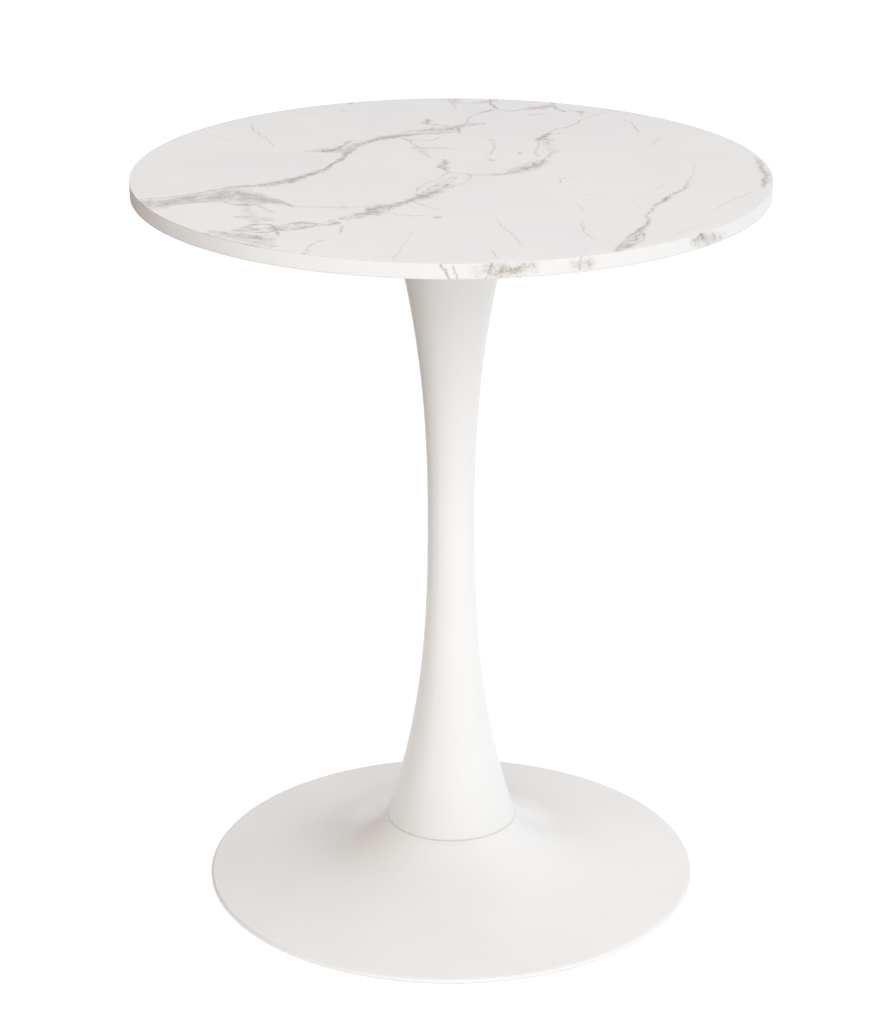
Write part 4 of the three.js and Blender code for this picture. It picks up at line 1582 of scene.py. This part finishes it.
@dataclass
class Foot(SubAssembly):
    """The trumpet cover, what stands on it and what hangs inside it."""

    land: float = 66 * MM
    land_round: float = 1.2 * MM
    rod_hole: float = 6.5 * MM
    rim_height: float = 4.5 * MM
    rim_round: float = 3.2 * MM
    rim_ease: float = 0.3 * MM
    flare: float = 3.5
    cone_share: float = 0.22
    sheet: float = 2 * MM
    cover_steps: int = 240
    cover_rows: int = 64
    casting_grid: float = 2.2 * MM
    spring_gap: float = math.radians(11)
    spring_lift: float = 0.35 * MM
    spring_steps: int = 72

    def build(self) -> None:
        """Build and dress the foot."""
        self.cover()
        self.fit_ring("foot_centring_ring", "foot_ring", Slot.NYLON, 144, 0.25 * MM)
        self.fit_ring("rim_trim_strip", "rim_trim", Slot.TRIM, 192, 0.3 * MM)
        self.weight()
        self.fit_washer("large_clamp_washer", "clamp_washer", self.rod_hole, 96)
        self.spring_washer()
        self.fit_nut("clamp_hex_nut", "clamp_nut", ROD_THREAD)

    def height(self, r: float, span: Span) -> float:
        """Height of the cover's outer face at a radius.

        Args:
            r: the radius.
            span: where the cover stands.

        Returns:
            The height.
        """
        share = max(0.0, (span.radius - r) / (span.radius - self.land))
        rise = self.cone_share * share + (1 - self.cone_share) * share**self.flare
        return self.rim_height + (span.high - self.rim_height) * rise

    def face(self, r: float, depth: float, span: Span) -> Point:
        """A point of the cover below its outer face.

        Args:
            r: the point's radius.
            depth: how deep it lies, square to the face.
            span: where the cover stands.

        Returns:
            Its radius and height.
        """
        step = 0.01 * MM
        level = self.height(r, span)
        slope = (self.height(r + step, span) - level) / step
        return (r, level - depth * math.hypot(1, slope))

    def cover(self) -> None:
        """Spin the cover: rolled rim, trumpet flare and a flat land for the column."""
        span = Span.of("foot_cover")
        rim, top, ceiling = span.radius, span.high, span.high - self.sheet
        start = rim - self.rim_round
        shares = [share**0.8 for share in spread(0.0, 1.0, self.cover_rows)]
        outer = [self.face(start + (self.land - start) * share, 0.0, span) for share in shares]
        centre = self.height(start, span) - self.rim_round
        edge = [
            (start + self.rim_round * math.cos(turn), centre + self.rim_round * math.sin(turn))
            for turn in spread(0.0, math.pi / 2, 8)
        ]
        r, z = self.land - self.land_round, top - self.land_round
        shoulder = [
            (r + self.land_round * math.cos(turn), z + self.land_round * math.sin(turn))
            for turn in spread(math.pi / 4, math.pi / 2, 6)
        ]
        inner_land, outside = self.land / 2, start
        while outside - inner_land > 1e-7:
            middle = (inner_land + outside) / 2
            if self.face(middle, self.sheet, span)[1] > ceiling:
                inner_land = middle
            else:
                outside = middle
        lip = rim - self.sheet
        inner = [self.face(lip + (inner_land - lip) * share, self.sheet, span) for share in shares]
        inner[-1] = (inner[-1][0], ceiling)
        outline = [
            (rim - self.rim_ease, span.low),
            (rim, span.low + self.rim_ease),
            *edge[:-1],
            *outer[:-1],
            *shoulder,
            (self.rod_hole, top),
            (self.rod_hole, ceiling),
            *reversed(inner),
            (lip, span.low),
        ]
        piece = turned("trumpet_foot_cover", outline, self.cover_steps)
        self.fit(piece, "foot_cover", Slot.WHITE_PAINT)

    def weight(self) -> None:
        """The iron weight, with the soft corners and fillets of a sand casting."""
        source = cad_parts["foot_weight"]
        piece = bpy.data.objects.new("ribbed_iron_weight", source.data.copy())
        bpy.context.scene.collection.objects.link(piece)
        shaped(piece, "WELD", merge_threshold=0.01 * MM)
        shaped(piece, "REMESH", mode="VOXEL", voxel_size=self.casting_grid, adaptivity=0.0)
        shaped(piece, "SMOOTH", factor=0.5, iterations=5)
        soften(piece, math.pi)
        self.fit(piece, "foot_weight", Slot.IRON)

    def spring_washer(self) -> None:
        """A square-wire coil, cut through at one side with its ends sprung apart."""
        span = Span.of("spring_washer")
        wire = replace(span, high=span.high - self.spring_lift)
        outline = rounded(ring_corners(self.rod_hole, wire, (0.3 * MM,) * 4), 3)
        arc = TURN - self.spring_gap

        def section(angle: float) -> list[Point]:
            """The wire at one angle, rising round the coil."""
            return [(r, z + self.spring_lift * angle / arc) for r, z in outline]

        piece = sweep("split_spring_washer", section, self.spring_steps, arc=arc)
        self.fit(piece, "spring_washer", Slot.ZINC)


# ---------------------------------------------------------------- studio


@dataclass
class Studio:
    """A pale floor, soft light and the camera."""

    camera_distance: float = 2.839
    camera_height: float = 1.467
    pitch: float = math.radians(20.86)
    lens: float = 109.6
    sensor: float = 36.0
    shift: float = -0.0060
    floor_radius: float = 30.0
    floor_tones: tuple[Colour, Colour] = ((0.265,) * 3, (0.28,) * 3)
    floor_glow: float = 0.83
    sides: Stops = (
        (0.0, (0.68, 0.53, 0.40)),
        (0.15, (0.86, 0.81, 0.75)),
        (0.42, (0.94, 0.93, 0.915)),
        (0.62, (1.0, 1.0, 1.0)),
        (1.0, (1.16, 1.16, 1.20)),
    )
    rise: Stops = (
        (0.0, (0.38, 0.375, 0.365)),
        (0.12, (0.53, 0.53, 0.525)),
        (0.45, (1.08, 1.08, 1.09)),
        (1.0, (1.04, 1.04, 1.05)),
    )
    sky: float = 0.96
    lamp_size: tuple[float, float] = (1.7, 1.5)
    lamp_place: tuple[float, float, float] = (0.2, -2.4, 2.35)
    lamp_aim: tuple[float, float, float] = (0.0, 0.0, 0.45)
    lamp_power: float = 23.5
    flag_place: float = -0.67
    flag_reach: tuple[float, float] = (-0.35, 1.15)
    flag_height: float = 0.72
    flag_colour: Colour = (0.13, 0.06, 0.02)

    def build(self) -> None:
        """Set up the whole studio."""
        bpy.context.scene.view_settings.view_transform = "Standard"
        bpy.context.scene.view_settings.look = "None"
        self.floor()
        self.flag()
        self.world()
        self.lamp()
        self.camera()

    @staticmethod
    def sheet(
        name: str, corners: Sequence[Sequence[float]], material: bpy.types.Material
    ) -> bpy.types.Object:
        """Stand up a flat sheet that isn't part of the table.

        Args:
            name: the sheet's name.
            corners: its four corners in order.
            material: its material.

        Returns:
            The sheet.
        """
        made = to_object(name, corners, [[0, 1, 2, 3]])
        made.data.materials.append(material)
        return made

    def floor(self) -> None:
        """A plain pale floor under the table."""
        wires = Wires(bpy.data.materials.new("pale_floor"))
        tone = wires.between(wires.noise(wires.place(), 0.4, 3), 0.3, 0.7)
        material = wires.finish({
            "Base Color": wires.mix(tone, *self.floor_tones),
            "Roughness": 0.85,
            "Specular IOR Level": 0.2,
            "Emission Color": (1.0, 1.0, 1.0, 1.0),
            "Emission Strength": self.floor_glow,
        })
        signs = ((-1, -1), (1, -1), (1, 1), (-1, 1))
        corners = [(self.floor_radius * x, self.floor_radius * y, 0.0) for x, y in signs]
        self.sheet("floor", corners, material)

    def flag(self) -> None:
        """A tall dark card at the left, out of sight, which the paint reflects."""
        wires = Wires(bpy.data.materials.new("dark_card"))
        material = wires.finish({"Base Color": (*self.flag_colour, 1.0), "Roughness": 0.9})
        x, (near, far), height = self.flag_place, self.flag_reach, self.flag_height
        corners = [(x, near, 0.0), (x, far, 0.0), (x, far, height), (x, near, height)]
        self.sheet("flag", corners, material).visible_camera = False

    def world(self) -> None:
        """Light from all round: bright above, lighter at the right, warm and dim at the left."""
        world = bpy.data.worlds.new("studio")
        bpy.context.scene.world = world
        wires = Wires(world)
        x, _, z = wires.apart(wires.place("Generated"))
        across = wires.node("MapRange", {"Value": x, "From Min": -1.0, "From Max": 1.0}).outputs[0]
        colour = wires.mix(1.0, wires.ramp(across, self.sides), wires.ramp(z, self.rise), "MULTIPLY")
        light = wires.node("Background", {"Color": colour, "Strength": self.sky})
        wires.node("OutputWorld", {"Surface": light.outputs[0]})

    @staticmethod
    def held(data: bpy.types.ID, place: Sequence[float]) -> bpy.types.Object:
        """Hang a lamp or a camera up at a place.

        Args:
            data: the lamp or camera.
            place: where it hangs.

        Returns:
            Its object.
        """
        holder = bpy.data.objects.new(data.name, data)
        holder.location = place
        bpy.context.scene.collection.objects.link(holder)
        return holder

    def lamp(self) -> None:
        """One large soft lamp in front, a little to the right and above the board."""
        lamp = bpy.data.lights.new("softbox", "AREA")
        lamp.shape = "RECTANGLE"
        lamp.size, lamp.size_y = self.lamp_size
        lamp.energy = self.lamp_power
        aim = Vector(self.lamp_aim) - Vector(self.lamp_place)
        self.held(lamp, self.lamp_place).rotation_euler = aim.to_track_quat("-Z", "Y").to_euler()

    def camera(self) -> None:
        """A long lens at standing height, looking down at the table."""
        camera = bpy.data.cameras.new("camera")
        camera.lens = self.lens
        camera.sensor_fit = "AUTO"
        camera.sensor_width = self.sensor
        camera.shift_x = self.shift
        camera.clip_end = 100.0
        holder = self.held(camera, (0.0, -self.camera_distance, self.camera_height))
        holder.rotation_euler = (math.pi / 2 - self.pitch, 0.0, 0.0)
        bpy.context.scene.camera = holder


def main() -> None:
    """Build the table's looks and the studio round it."""
    logging.basicConfig(level=logging.INFO, format="%(message)s")
    Studio().build()
    finishes = Finishes()
    for assembly in (Board, HeadFittings, Column, Foot):
        log.info("building %s", assembly.__name__)
        assembly(finishes).build()


if __name__ == "__main__":
    main()
